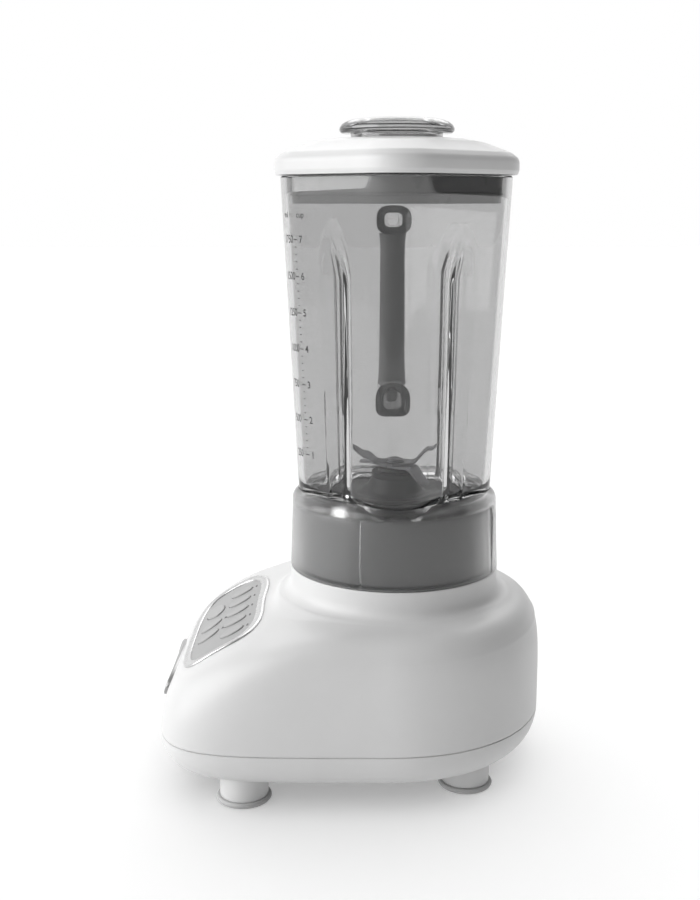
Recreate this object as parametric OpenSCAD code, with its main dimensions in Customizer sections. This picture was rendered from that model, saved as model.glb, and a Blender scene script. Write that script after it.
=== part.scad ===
// Countertop blender: motor base with a key panel, clear jar with handle, lid and filler cap.
// Sizes are millimetres. +Z is up and z = 0 is the table. The keys face -Y.
// The origin is the middle of the footprint. Most shapes are drawn about the drive axis,
// and at_drive() puts them in place.

/* [Base] */
// Width of the base at its belt line
base_w = 210; // [200:1:214]
// Reach of the base in front of the drive axis
base_front = 151; // [149:0.5:154]
// Reach of the base behind the drive axis
base_back = 97; // [95:0.5:102]
// Height of the shelf round the jar seat
shelf_z = 114.5; // [112:0.5:116]
// Height of the seam between the housing and the bottom cover
seam_z = 40; // [36:1:44]
// Height of the underside of the bottom cover
cover_z = 16; // [14:1:18]
// Wall thickness of the housing
wall = 3; // [2.5:0.1:3.2]

/* [Key panel] */
// Half width of the key panel
panel_half_w = 66.5; // [64:0.5:68]
// Half length of the key panel, along the slope
panel_half_h = 31; // [30:0.5:32]
// Forward tilt of the panel
panel_tilt = 30.4; // [29:0.1:32]
// Distance between the oval keys
key_pitch = 20; // [19.5:0.1:21]
// Travel of a key
key_travel = 0.8; // [0.5:0.1:1]

/* [Jar] */
// Height of the jar seat, where the collar rests
seat_z = 132.4; // [131:0.1:134]
// Radius of the collar at the seat
collar_r = 68.7; // [68:0.1:69]
// Height of the jar mouth
mouth_z = 384.2; // [380:0.1:386]
// Reach of the jar's corners at the mouth
mouth_reach = 73.2; // [72:0.1:74]
// Reach of the jar's corners at the foot of the jar
foot_reach = 62.8; // [62:0.1:63.5]
// Wall thickness of the jar
jar_wall = 3.8; // [3.4:0.1:4.2]
// Reach of the handle beyond the drive axis
handle_reach = 126; // [124:1:130]

/* [Lid and cap] */
// Reach of the lid's corners
lid_reach = 77; // [76:0.1:78]
// Height of the top of the filler cap
cap_top_z = 419; // [418:0.1:421]
// Radius of the cap's flange
cap_r = 36; // [35:0.1:37]

/* [Hidden] */
$fn = 96;
eps = 0.01;

// The footprint's middle is the origin, so the drive axis stands off it.
drive_x = (handle_reach - base_w / 2) / 2;
drive_y = (base_front - base_back) / 2;

// Base body. It is widest at the belt and rounds over to the shelf and in to the cover.
belt_z = 40;
seam_gap = 0.2;
belt_y = -6;
front_power = 2.1;
side_power = 4.6;
back_power = 5;
plan_front_power = 5.3;
plan_back_power = 2.15;
top_half_w = 66;
top_front = 14;
top_back = 66;
tuck = 21;
seat_inner_r = 64.6;
seat_fillet = 8;
pad_r = [56, 62.4];
boss_r = 52;
boss_z = 146;
well_r = 25;
well_z = 130;
shaft_hole_r = 8;

// Feet
foot_r = 17.5;
post_r = 15;
front_foot = [75, -96];
rear_foot = [56, 45];
foot_places = [
    [-front_foot[0], front_foot[1]], [front_foot[0], front_foot[1]],
    [-rear_foot[0], rear_foot[1]], [rear_foot[0], rear_foot[1]]
];
cover_screw_places = [[-72, -30], [72, -30], [-30, -118], [30, -118]];

// Panel. Its face is part of a wide cylinder whose apex is panel_apex.
panel_apex = [0, -113, 92.8];
panel_r = 158.8;
panel_power = 3.6;
panel_dip = 0.06;
bezel_w = 6;
key_gap = 0.4;
key_proud = 0.9;
row_s = [8.5, -12];
oval_half = [6, 8.2];
leaf_x = -27.5;
leaf_half = [12.6, 7.4];
board_drop = 13;
board_size = [104, 40, 1.6];
switch_size = [6, 6, 5.2];

// Badge. Its face is part of a cylinder along X.
badge_axis = [-103, 42];
badge_r = 48.8;
badge_half = [40, 12.5];
badge_mid_z = 58;

// Motor
shaft_r = 4;
armature_r = 21;
air_gap = 0.8;
stator_half = 41;
stator_z = [56, 88];
bolt_place = 31;
upper_bracket_z = 102;
lower_bracket_z = 43;
commutator_z = 94;
commutator_r = 11;

// Couplers
coupler_r = 17;
dogs = 6;
drive_top_z = 146;
dog_h = 5.5;

// Jar stack, from the seat up
jar_corner_r = 28;
jar_foot_z = 178;
jar_neck_r = 57;
jar_neck_z = 164;
jar_floor_z = 182;
jar_hole_r = 50;
flute_r = 7;
flute_depth = 4.5;
flute_bend_z = 311;
flute_lean = 7;
core_r = 61.5;
core_z = [133.8, 176];
carrier_z = 158;
carrier_flange_r = 56;
carrier_face_z = 178;
dome_r = 20.6;
hub_r = 11.8;
dome_z = 197.4;
blade_z = 198;
blade_t = 1.6;
pin_r = 2.9;

// Handle
arm_half_w = 16;
arm_z = [[346, 366], [218, 242]];
bore_half_w = 10.2;
arm_wall = 4.2;
grip_x = [104, 126];
plug_x = -116;

// Lid
lid_corner_r = 30;
lid_wall = 2.6;
lid_hole_r = 29.6;
lid_slices = [
    [384.8, 0.986], [387, 0.998], [392, 1], [394.6, 0.985], [396.2, 0.962], [398.6, 0.922],
    [401, 0.845], [403, 0.77], [404.8, 0.70], [405.8, 0.64], [406.4, 0.57], [406.8, 0.42]
];
seal_z = [367.4, 384.6];
seal_reach = 65.8;
seal_rib_reach = 66.7;
cup_r = 26.6;
cup_z = 378;
cap_wide_z = 412.5;

module at_drive() {
    translate([drive_x, drive_y, 0]) children();
}

module at_panel() {
    at_drive() translate(panel_apex) rotate([panel_tilt, 0, 0]) children();
}

// ---- Outlines ----

function round_over(u, p) = pow(max(0, 1 - pow(min(1, u), p)), 1 / p);
function rise(z) = max(0, (z - belt_z) / (shelf_z - belt_z));
function drop(z) = max(0, (belt_z - z) / (belt_z - cover_z));
function tuck_in(z) = tuck * (1 - sqrt(max(0, 1 - pow(drop(z), 2))));
function reach(z, top, widest, p) = top + (widest - top) * round_over(rise(z), p) - tuck_in(z);
function half_width(z) = reach(z, top_half_w, base_w / 2, side_power);
function front_length(z) = reach(z, top_front, base_front + belt_y, front_power);
function back_length(z) = reach(z, top_back, base_back - belt_y, back_power);
function signed_pow(v, p) = sign(v) * pow(abs(v), p);

// Plan outline of the base at height z, drawn in by inset
function base_outline(z, inset, steps) = [
    for (i = [0:steps - 1])
        let (a = 360 * i / steps, s = sin(a), front = s < 0,
             p = 2 / (front ? plan_front_power : plan_back_power),
             length = (front ? front_length(z) : back_length(z)) - inset)
            [(half_width(z) - inset) * signed_pow(cos(a), p), belt_y + length * signed_pow(s, p)]
];

// Rounded square with its corners on the X and Y axes
function jar_outline(corner_reach, r, per_corner = 8) = [
    for (k = [0:3], i = [0:per_corner])
        let (a = 90 * k - 45 + 90 * i / per_corner, c = corner_reach - r)
            [c * cos(90 * k) + r * cos(a), c * sin(90 * k) + r * sin(a)]
];

// Square with rounded corners and its sides on the X and Y directions
function rounded_square(half, r) = [
    for (k = [0:3], i = [0:6])
        let (a = 90 * k + 90 * i / 6, c = half - r)
            [c * (k == 0 || k == 3 ? 1 : -1) + r * cos(a), c * (k < 2 ? 1 : -1) + r * sin(a)]
];

// Outline of the key panel, with a shallow dip in its upper edge
function panel_outline(inset) = [
    for (a = [0:5:355])
        let (p = 2 / panel_power, x = (panel_half_w - inset) * signed_pow(cos(a), p),
             y = (panel_half_h - inset) * signed_pow(sin(a), p))
            [x, y > 0 ? y * (1 - panel_dip * exp(-pow(x / 28, 2))) : y]
];

function jar_reach(z) =
    foot_reach + (mouth_reach - foot_reach) * (z - jar_foot_z) / (mouth_z - jar_foot_z);
function jar_flat(z) = (jar_reach(z) - jar_corner_r) / sqrt(2) + jar_corner_r;

// ---- Shared solids ----

module ring(r_out, r_in, z0, z1) {
    translate([0, 0, z0]) difference() {
        cylinder(r = r_out, h = z1 - z0);
        translate([0, 0, -1]) cylinder(r = r_in, h = z1 - z0 + 2);
    }
}

module cylinder_between(r, z0, z1) {
    translate([0, 0, z0]) cylinder(r = r, h = z1 - z0);
}

// Rounded bar along X, with its middle at height z
module bar(half_w, half_h, power, z, x0, x1) {
    translate([x0, 0, z]) rotate([90, 0, 90]) linear_extrude(height = x1 - x0)
        polygon([for (a = [0:15:345])
            [half_w * signed_pow(cos(a), 2 / power), half_h * signed_pow(sin(a), 2 / power)]]);
}

// Body of the base between two heights. Its wall lies inset inside the outer face.
module base_body(z0, z1, inset, steps, levels) {
    hull()
        for (i = [0:levels]) {
            z = z0 + (z1 - z0) * sin(90 * i / levels);
            translate([0, 0, z]) linear_extrude(height = eps) polygon(base_outline(z, inset, steps));
        }
}

module cover_body(inset, steps) {
    hull()
        for (i = [0:5]) {
            z = cover_z + (seam_z - seam_gap - cover_z) * (1 - cos(90 * i / 5));
            translate([0, 0, z + (i == 0 ? inset : 0)]) linear_extrude(height = eps)
                polygon(base_outline(z, inset, steps));
        }
}

module jar_prism(z0, z1, inset) {
    hull()
        for (z = [z0, z1])
            translate([0, 0, z]) linear_extrude(height = eps)
                polygon(jar_outline(jar_reach(z) - inset, jar_corner_r - inset));
}

module lid_body(inset) {
    hull()
        for (s = lid_slices)
            translate([0, 0, s[0] - (s[0] > 395 ? inset : 0)]) linear_extrude(height = eps)
                polygon(jar_outline(lid_reach * s[1] - inset, min(lid_corner_r, 0.4 * lid_reach * s[1])));
}

// One groove down each flat of the jar. It leans out at the top until it leaves the wall.
module flutes(r) {
    lean = atan((jar_flat(mouth_z) - jar_flat(jar_foot_z)) / (mouth_z - jar_foot_z));
    off = flute_r - flute_depth;
    bend = flute_bend_z - jar_foot_z;
    for (a = [45:90:315])
        rotate([0, 0, a]) translate([jar_flat(jar_foot_z) + off, 0, jar_foot_z]) rotate([0, lean, 0])
            union() {
                translate([0, 0, -20]) cylinder(r = r, h = bend + 20);
                translate([0, 0, bend]) rotate([0, flute_lean, 0]) translate([0, 0, -2]) cylinder(r = r, h = 75);
            }
}

// Tube inside the jar's mouth. Its outlines are all offset from the seal's.
module jar_tube(outer, inner, z0, z1) {
    corner = 27 - seal_reach;
    difference() {
        translate([0, 0, z0]) linear_extrude(height = z1 - z0) polygon(jar_outline(outer, corner + outer));
        translate([0, 0, z0 - 1]) linear_extrude(height = z1 - z0 + 2)
            polygon(jar_outline(inner, corner + inner));
    }
}

module panel_slab(z0, z1) {
    translate([0, 0, -panel_r]) rotate([0, 90, 0]) difference() {
        cylinder(r = panel_r + z1, h = 2 * panel_half_w + 20, center = true, $fn = 180);
        cylinder(r = panel_r + z0, h = 2 * panel_half_w + 30, center = true, $fn = 180);
    }
}

module panel_prism(inset) {
    translate([0, 0, -20]) linear_extrude(height = 40) polygon(panel_outline(inset));
}

module oval(grow) {
    scale_y = (oval_half[1] + grow) / (oval_half[0] + grow);
    polygon([for (a = [0:15:345])
        [(oval_half[0] + grow) * cos(a), scale_y * (oval_half[0] + grow) * sin(a)]]);
}

// Leaf shape: two arcs that meet at rounded tips
module leaf(grow) {
    polygon([for (a = [0:10:350])
        [(leaf_half[0] + grow) * signed_pow(cos(a), 0.9),
         (leaf_half[1] + grow) * signed_pow(sin(a), 1.35) + 2.6 * cos(a)]]);
}

function oval_place(n) = n <= 5
    ? [(n - 3) * key_pitch, row_s[0]]
    : [(n - 6) * key_pitch, row_s[1]];

module key_holes() {
    for (n = [1:7]) translate(oval_place(n)) oval(key_gap);
    translate([leaf_x, row_s[1]]) leaf(key_gap);
}

module key_solid() {
    intersection() {
        panel_slab(-6, key_proud);
        translate([0, 0, -20]) linear_extrude(height = 40) children();
    }
}

// Dog-toothed disc. Teeth stand up, and turn puts a mating disc's teeth in the gaps.
module coupler(turn) {
    cylinder(r = coupler_r, h = 8);
    for (k = [0:dogs - 1])
        rotate([0, 0, k * 360 / dogs + turn])
            rotate_extrude(angle = 24) translate([9, 8 - eps]) square([7, dog_h]);
}

module screw(head_r, r, length) {
    translate([0, 0, -0.5]) cylinder(r = r, h = length + 0.5);
    difference() {
        translate([0, 0, -2]) cylinder(r = head_r, h = 2);
        for (a = [0, 90]) rotate([0, 0, a]) translate([-head_r * 0.6, -0.4, -3]) cube([head_r * 1.2, 0.8, 2]);
    }
}

// ---- Base ----

// Jar seat: a hollow pedestal with a raised boss and a well for the drive coupler
module seat_shell() {
    rotate_extrude() polygon(concat(
        [[seat_inner_r, 90], [seat_inner_r, seat_z - 4], [boss_r - wall, seat_z - 4],
         [boss_r - wall, boss_z - wall], [well_r + wall, boss_z - wall], [well_r + wall, well_z - wall],
         [shaft_hole_r, well_z - wall], [shaft_hole_r, well_z], [well_r, well_z], [well_r, boss_z],
         [boss_r - 2, boss_z], [boss_r, boss_z - 2], [boss_r, seat_z], [pad_r[0], seat_z],
         [pad_r[0], seat_z - 3], [pad_r[1], seat_z - 3], [pad_r[1], seat_z], [collar_r - 0.5, seat_z],
         [collar_r, seat_z - 0.5]],
        [for (a = [0:15:90]) [collar_r + seat_fillet * (1 - cos(a)), shelf_z + seat_fillet * (1 - sin(a))]],
        [[collar_r + 12, shelf_z - 3], [collar_r + 19, shelf_z - 8], [collar_r + 24, 90]]
    ));
}

module upper_housing() color("white") at_drive() difference() {
    union() {
        difference() {
            base_body(seam_z, shelf_z, 0, 56, 9);
            base_body(seam_z - eps, shelf_z - wall, wall, 40, 6);
            translate([0, 0, 90]) cylinder(r = seat_inner_r + 1, h = 60);
        }
        difference() {
            seat_shell();
            base_body(seam_z - eps, shelf_z - wall, wall, 40, 6);
        }
    }
    translate(panel_apex) rotate([panel_tilt, 0, 0]) panel_prism(0);
    badge_prism();
}

module badge_prism() {
    translate([0, 0, badge_mid_z]) rotate([90, 0, 0]) translate([0, 0, 120]) linear_extrude(height = 60)
        polygon([for (a = [0:10:350])
            [badge_half[0] * cos(a), badge_half[1] * sin(a)]]);
}

module bottom_cover() color("white") at_drive() difference() {
    cover_body(0, 56);
    translate([0, 0, eps]) cover_body(wall, 40);
    for (p = cover_screw_places) translate([p[0], p[1], 10]) cylinder(r = 2.1, h = 12);
    for (a = [0:30:330]) rotate([0, 0, a]) translate([14, -2, 10]) cube([26, 4, 12]);
    translate([0, 74, 0]) cylinder(r = 6, h = 30);
}

module foot_posts() color("white") at_drive() difference() {
    for (p = foot_places) translate([p[0], p[1], 3]) cylinder(r = post_r, h = 20);
    for (p = foot_places) translate([p[0], p[1], 2]) cylinder(r = 5, h = 10);
    cover_body(0, 56);
}

module foot(n) color("gray") at_drive() translate([foot_places[n][0], foot_places[n][1], 0]) {
    cylinder(r = foot_r, h = 3);
    translate([0, 0, 3 - eps]) cylinder(r = 4.8, h = 8);
}

module panel_bezel() color("silver") at_panel() difference() {
    intersection() {
        panel_slab(-5, 1.2);
        panel_prism(0);
    }
    panel_prism(bezel_w);
}

module panel_plate() color("lightgray") at_panel() difference() {
    intersection() {
        panel_slab(-3, 0);
        panel_prism(bezel_w);
    }
    translate([0, 0, -20]) linear_extrude(height = 40) {
        key_holes();
        for (n = [1:7]) translate(oval_place(n)) translate([-1.6, oval_half[1] + 2.4]) square([3.2, 1.2]);
    }
}

module indicator_lenses() color("dimgray") at_panel() intersection() {
    panel_slab(-3, 0.2);
    translate([0, 0, -20]) linear_extrude(height = 40)
        for (n = [1:7]) translate(oval_place(n)) translate([-1.6, oval_half[1] + 2.4]) square([3.2, 1.2]);
}

module front_badge() color("gray") at_drive() intersection() {
    badge_prism();
    translate([0, badge_axis[0], badge_axis[1]]) rotate([0, 90, 0]) difference() {
        cylinder(r = badge_r, h = 100, center = true, $fn = 180);
        cylinder(r = badge_r - 3, h = 110, center = true, $fn = 180);
    }
}

module seat_pad() color("dimgray") at_drive() ring(pad_r[1], pad_r[0], seat_z - 3, seat_z + 0.8);

module cover_screws() color("silver") at_drive()
    for (p = cover_screw_places) translate([p[0], p[1], cover_z]) screw(3.6, 2, 10);

module cord_gland() color("black") at_drive() translate([0, 74, cover_z - 3]) difference() {
    union() {
        cylinder(r = 6, h = 14);
        cylinder(r = 8.5, h = 3);
    }
    translate([0, 0, -1]) cylinder(r = 3.4, h = 20);
}

// ---- Keys ----

module oval_key(n) color("lightgray") at_panel() key_solid() translate(oval_place(n)) oval(0);
module power_key() color("lightgray") at_panel() key_solid() translate([leaf_x, row_s[1]]) leaf(0);

// ---- Electronics ----

module at_board() {
    at_panel() translate([0, -2, -board_drop]) children();
}

board_screw_places = [for (x = [-46, 46], y = [-15, 15]) [x, y]];

module control_board() color("darkgreen") at_board() difference() {
    translate([-board_size[0] / 2, -board_size[1] / 2, -board_size[2]]) cube(board_size);
    for (p = board_screw_places) translate([p[0], p[1], -3]) cylinder(r = 1.8, h = 6);
}

module board_switches() color("black") at_board() {
    for (n = [1:7]) {
        p = oval_place(n);
        translate([p[0] - 3, p[1] - 1, 0]) cube(switch_size);
    }
    translate([leaf_x - 3, row_s[1] - 1, 0]) cube(switch_size);
}

module board_screws() color("silver") at_board()
    for (p = board_screw_places) translate([p[0], p[1], 1.6 + eps]) mirror([0, 0, 1]) {
        cylinder(r = 1.6, h = 9);
        cylinder(r = 3, h = 1.6);
    }

// ---- Motor ----

module corner_bolts(r, z0, z1) {
    for (x = [-bolt_place, bolt_place], y = [-bolt_place, bolt_place])
        translate([x, y, z0]) cylinder(r = r, h = z1 - z0);
}

module stator_core() color("slategray") at_drive() difference() {
    translate([0, 0, stator_z[0]]) linear_extrude(height = stator_z[1] - stator_z[0])
        polygon(rounded_square(stator_half, 8));
    translate([0, 0, stator_z[0] - 1]) cylinder(r = armature_r + air_gap, h = 40);
    for (s = [-1, 1]) translate([s * 29, 0, stator_z[0] - 1]) cylinder(r = 5.5, h = 40);
    corner_bolts(2.4, stator_z[0] - 1, stator_z[1] + 1);
}

module field_coils() color("chocolate") at_drive() {
    for (s = [0, 180], z = [stator_z[0] - 9, stator_z[1]])
        rotate([0, 0, s - 55]) translate([0, 0, z])
            rotate_extrude(angle = 110) translate([23.4, 0]) square([11, 9]);
    for (s = [-1, 1]) translate([s * 29, 0, stator_z[0]]) cylinder(r = 5.2, h = stator_z[1] - stator_z[0]);
}

module bracket(z, thickness, bearing_r) {
    difference() {
        union() {
            for (a = [45, 135]) rotate([0, 0, a])
                translate([-50, -8, z]) cube([100, 16, thickness]);
            translate([0, 0, z]) cylinder(r = bearing_r + 5, h = thickness);
        }
        translate([0, 0, z - 1]) cylinder(r = bearing_r, h = thickness + 2);
        corner_bolts(4.2, z - 1, z + thickness + 1);
    }
}

module lower_bracket() color("silver") at_drive() bracket(lower_bracket_z, 3, 9);
module upper_bracket() color("silver") at_drive() bracket(upper_bracket_z, 3, 9);
module lower_bearing() color("lightsteelblue") at_drive() ring(9, shaft_r + 0.05, lower_bracket_z - 2, lower_bracket_z + 3);
module upper_bearing() color("lightsteelblue") at_drive() ring(9, shaft_r + 0.05, upper_bracket_z, upper_bracket_z + 5);

module motor_grommets() color("black") at_drive()
    for (x = [-bolt_place, bolt_place], y = [-bolt_place, bolt_place], z = [lower_bracket_z, upper_bracket_z])
        translate([x, y, 0]) ring(4.2, 2.4, z - 1, z + 4);

module motor_screws() color("silver") at_drive() {
    corner_bolts(2.3, lower_bracket_z - 6, upper_bracket_z + 6);
    for (z = [lower_bracket_z - 4, upper_bracket_z + 4])
        for (x = [-bolt_place, bolt_place], y = [-bolt_place, bolt_place])
            translate([x, y, z]) cylinder(r = 4.6, h = 3, $fn = 6);
}

module at_brush() {
    for (a = [90, 270]) rotate([0, 0, a]) translate([0, 0, commutator_z + 3.5]) children();
}

module brush_holders() color("saddlebrown") at_drive() at_brush() difference() {
    translate([13, -4.5, -4.5]) cube([22, 9, 9]);
    translate([12, -3, -3]) cube([21, 6, 6]);
}

module carbon_brushes() color("black") at_drive() at_brush() translate([commutator_r + 0.3, -2.9, -2.9])
    cube([10, 5.8, 5.8]);

module brush_springs() color("silver") at_drive() at_brush() {
    for (i = [0:4]) translate([22.1 + 2.6 * i, 0, 0]) rotate([0, 90, 0])
        rotate_extrude() translate([2, 0]) circle(r = 0.4, $fn = 24);
    translate([21.9, 2, 0]) rotate([0, 90, 0]) cylinder(r = 0.3, h = 11);
}

module motor_shaft() color("silver") at_drive() translate([0, 0, 27]) cylinder(r = shaft_r, h = 112);
module armature_core() color("slategray") at_drive() difference() {
    ring(armature_r, shaft_r, stator_z[0] + 2, stator_z[1] - 2);
    for (a = [0:30:330]) rotate([0, 0, a]) translate([16, -1.5, stator_z[0]]) cube([8, 3, 40]);
}
module armature_windings() color("chocolate") at_drive() {
    ring(18, shaft_r, stator_z[0] - 5, stator_z[0] + 2);
    ring(18, shaft_r, stator_z[1] - 2, stator_z[1] + 4);
}
module commutator() color("peru") at_drive() difference() {
    ring(commutator_r, shaft_r, commutator_z, commutator_z + 7);
    for (a = [0:30:330]) rotate([0, 0, a]) translate([commutator_r - 1, -0.3, commutator_z - 1]) cube([3, 0.6, 9]);
}
module cooling_fan() color("dimgray") at_drive() {
    ring(34, shaft_r, 29, 31);
    ring(9, shaft_r, 31 - eps, 38);
    for (a = [0:36:324]) rotate([0, 0, a]) translate([8, -1, 31 - eps]) cube([25, 2, 7]);
}
module drive_coupler() color("black") at_drive() difference() {
    translate([0, 0, drive_top_z - 8]) coupler(0);
    translate([0, 0, drive_top_z - 12]) cylinder(r = shaft_r, h = 5);
}

// ---- Jar ----

module jar() color("gainsboro", 0.4) at_drive() difference() {
    union() {
        jar_prism(jar_foot_z, mouth_z, 0);
        cylinder_between(jar_neck_r, jar_neck_z, jar_foot_z + 2);
        handle_arms();
    }
    difference() {
        jar_prism(jar_floor_z, mouth_z + 1, jar_wall);
        flutes(flute_r + jar_wall);
    }
    flutes(flute_r);
    cylinder_between(jar_hole_r, jar_neck_z - 1, jar_floor_z + 1);
    for (z = arm_z) bar(bore_half_w, (z[1] - z[0]) / 2 - arm_wall, 3, (z[0] + z[1]) / 2, -handle_reach - 1, -78);
}

// Two clear arms and the bar that the grip covers, with rounded outer corners
module handle_arms() {
    r = 14;
    intersection() {
        union() {
            for (z = arm_z) bar(arm_half_w, (z[1] - z[0]) / 2, 4, (z[0] + z[1]) / 2, -handle_reach, -58);
            translate([-grip_x[1] + 5, -5, arm_z[1][0] + 10]) cube([12, 10, arm_z[0][0] - arm_z[1][0]]);
        }
        rotate([90, 0, 0]) linear_extrude(height = 60, center = true) polygon(concat(
            [[0, arm_z[1][0] - 1], [0, arm_z[0][1] + 1]],
            [for (a = [90:15:180]) [r - handle_reach + r * cos(a), arm_z[0][1] - r + r * sin(a)]],
            [for (a = [180:15:270]) [r - handle_reach + r * cos(a), arm_z[1][0] + r + r * sin(a)]]
        ));
    }
}

module grip_slice(z, half_w) {
    translate([-(grip_x[0] + grip_x[1]) / 2, 0, z]) linear_extrude(height = eps)
        polygon([for (a = [0:15:345]) [11 * signed_pow(cos(a), 0.7), half_w * signed_pow(sin(a), 0.7)]]);
}

// Grip, flared where it meets the arms, and the plug that closes the lower arm
module handle_grip() color("gray") at_drive() {
    foot = arm_z[1][1];
    top = arm_z[0][0];
    slices = [[foot, 15.4], [foot + 12, 13.4], [top - 8, 12.4], [top - eps, 15]];
    difference() {
        for (i = [0:2]) hull() {
            grip_slice(slices[i][0], slices[i][1]);
            grip_slice(slices[i + 1][0], slices[i + 1][1]);
        }
        translate([-grip_x[1] + 5, -5, foot - 1]) cube([12, 10, top - foot + 2]);
    }
    bar(bore_half_w, (foot - arm_z[1][0]) / 2 - arm_wall, 3, (arm_z[1][0] + foot) / 2, plug_x - 5, plug_x);
}

module collar() color("lightgray", 0.5) at_drive() difference() {
    union() {
        rotate_extrude() polygon(concat(
            [[collar_r - 3.2, seat_z], [collar_r, seat_z], [67.1, 174]],
            [for (a = [0:15:75]) [60.1 + 7 * cos(a), 177 + 7 * sin(a)]],
            [[54, 184], [54, 181], [62.5, 177.5], [63.9, 173]]
        ));
        for (a = [67.5:90:337.5]) rotate([0, 0, a]) translate([62.4, -2.6, 0]) rotate([90, 0, 90])
            linear_extrude(height = 6.5) polygon([[0, seat_z + 0.6], [5.2, seat_z + 0.6], [5.2, 178], [0, 178]]);
    }
    jar_prism(jar_foot_z - 4, 200, 0);
    cylinder_between(63.2, seat_z - 1, 176.2);
}

module collar_core() color("dimgray") at_drive() difference() {
    cylinder_between(core_r, core_z[0], core_z[1]);
    cylinder_between(54, core_z[0] - 1, carrier_z - 3);
    cylinder_between(53, carrier_z - 5, carrier_z + 1);
    cylinder_between(jar_neck_r, carrier_z, core_z[1] + 1);
}

module jar_gasket() color("black") at_drive() ring(carrier_flange_r, jar_hole_r, carrier_z + 3.5, jar_neck_z);

module blade_carrier() color("dimgray") at_drive() rotate_extrude() polygon(concat(
    [[7, carrier_z + 3.5], [12, carrier_z + 3.5], [12, carrier_z + 13], [46, carrier_z + 13], [46, carrier_z],
     [carrier_flange_r, carrier_z], [carrier_flange_r, carrier_z + 3.5], [49.7, carrier_z + 3.5],
     [49.7, carrier_face_z - 1], [48.7, carrier_face_z], [25, carrier_face_z], [24, carrier_face_z + 1.5],
     [dome_r, carrier_face_z + 1.5]],
    [[dome_r, carrier_face_z + 3], [dome_r - 3, carrier_face_z + 11], [hub_r + 4.6, carrier_face_z + 13.6],
     [hub_r + 5, carrier_face_z + 14.2], [hub_r + 5, carrier_face_z + 16.4], [hub_r + 4.4, carrier_face_z + 17],
     [hub_r, carrier_face_z + 17], [hub_r, dome_z - 1], [hub_r - 1, dome_z], [7, dome_z]]
));

module blade_bushes() color("goldenrod") at_drive() {
    ring(7, shaft_r + 0.05, carrier_z + 3.5, carrier_z + 11);
    ring(7, shaft_r + 0.05, dome_z - 14, dome_z - 4);
}
module shaft_seal() color("black") at_drive() ring(7, shaft_r + 0.1, dome_z - 4, dome_z - 1);

// ---- Blade ----

module blade_shaft() color("silver") at_drive() {
    cylinder_between(shaft_r, 153, blade_z);
    cylinder_between(pin_r, blade_z - eps, blade_z + 5);
}

// Half a blade: flat as far as flat, then a wing of the given length that rises or falls
module blade_half(z, flat, angle, wing) {
    out = flat + wing * cos(angle);
    up = wing * sin(angle);
    side = [[-eps, z], [flat, z], [out, z + up]];
    intersection() {
        rotate([90, 0, 0]) linear_extrude(height = 20, center = true)
            polygon(concat(side, [for (i = [2:-1:0]) side[i] + [0, blade_t]]));
        linear_extrude(height = 300) polygon([
            [-eps, -9.6], [3, -9.6], [flat, -8], [0.4 * flat + 0.6 * out, -6], [out, -1.5],
            [out - 1, 3], [0.7 * flat + 0.3 * out, 6.6], [flat, 8], [3, 9.6], [-eps, 9.6]
        ]);
    }
}

// Blade with two wings, each given as its angle and length
module blade_strip(z, flat, turn, first, second) {
    rotate([0, 0, turn]) difference() {
        union() {
            blade_half(z, flat, first[0], first[1]);
            rotate([0, 0, 180]) blade_half(z, flat, second[0], second[1]);
        }
        translate([0, 0, z - 1]) cylinder(r = pin_r, h = 4);
    }
}

module upper_blade() color("silver") at_drive() blade_strip(blade_z + blade_t, 10.5, 82, [34, 20], [36, 19]);
module lower_blade() color("silver") at_drive() blade_strip(blade_z, 14, 49, [-46, 16.5], [-3, 12]);
module blade_washer() color("silver") at_drive() ring(7, pin_r, blade_z + 2 * blade_t, blade_z + 4);
module cap_nut() color("silver") at_drive() difference() {
    union() {
        cylinder_between(5.8, blade_z + 4, blade_z + 4.9);
        cylinder_between(4.4, blade_z + 4, blade_z + 5.6);
    }
    translate([0, 0, blade_z + 3]) cylinder(r = pin_r, h = 2);
}
module jar_coupler() color("black") at_drive() difference() {
    translate([0, 0, drive_top_z + dog_h + 8.7]) mirror([0, 0, 1]) coupler(180 / dogs);
    translate([0, 0, 153]) cylinder(r = shaft_r, h = 10);
}

// ---- Lid and cap ----

module lid() color("white") at_drive() difference() {
    union() {
        difference() {
            lid_body(0);
            translate([0, 0, -eps]) lid_body(lid_wall);
        }
        jar_tube(62.6, 60.2, 370, 397.5);
        ring(lid_hole_r + 2.2, lid_hole_r, 396, 405);
    }
    translate([0, 0, 380]) cylinder(r = lid_hole_r, h = 40);
}

module lid_seal() color("dimgray") at_drive() {
    jar_tube(seal_reach, 62.8, seal_z[0], seal_z[1]);
    jar_tube(seal_rib_reach, seal_reach - eps, 372, 374);
}

module filler_cap() color("gray", 0.6) at_drive() rotate_extrude() polygon(concat(
    [[cup_r - 2.4, cup_z], [cup_r, cup_z], [28.9, 407.6], [28.9, 410]],
    [for (a = [-75:15:0]) [cap_r - 2.4 + 2.4 * cos(a), cap_wide_z + 2.4 * sin(a)]],
    [for (a = [15:15:75]) [cap_r - 15 + 15 * pow(cos(a), 0.8), cap_wide_z + (cap_top_z - cap_wide_z) * sin(a)]],
    [[cap_r - 18, cap_top_z], [0, cap_top_z], [0, 411.6], [23, 411.6], [25.2, 409]]
));

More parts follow.
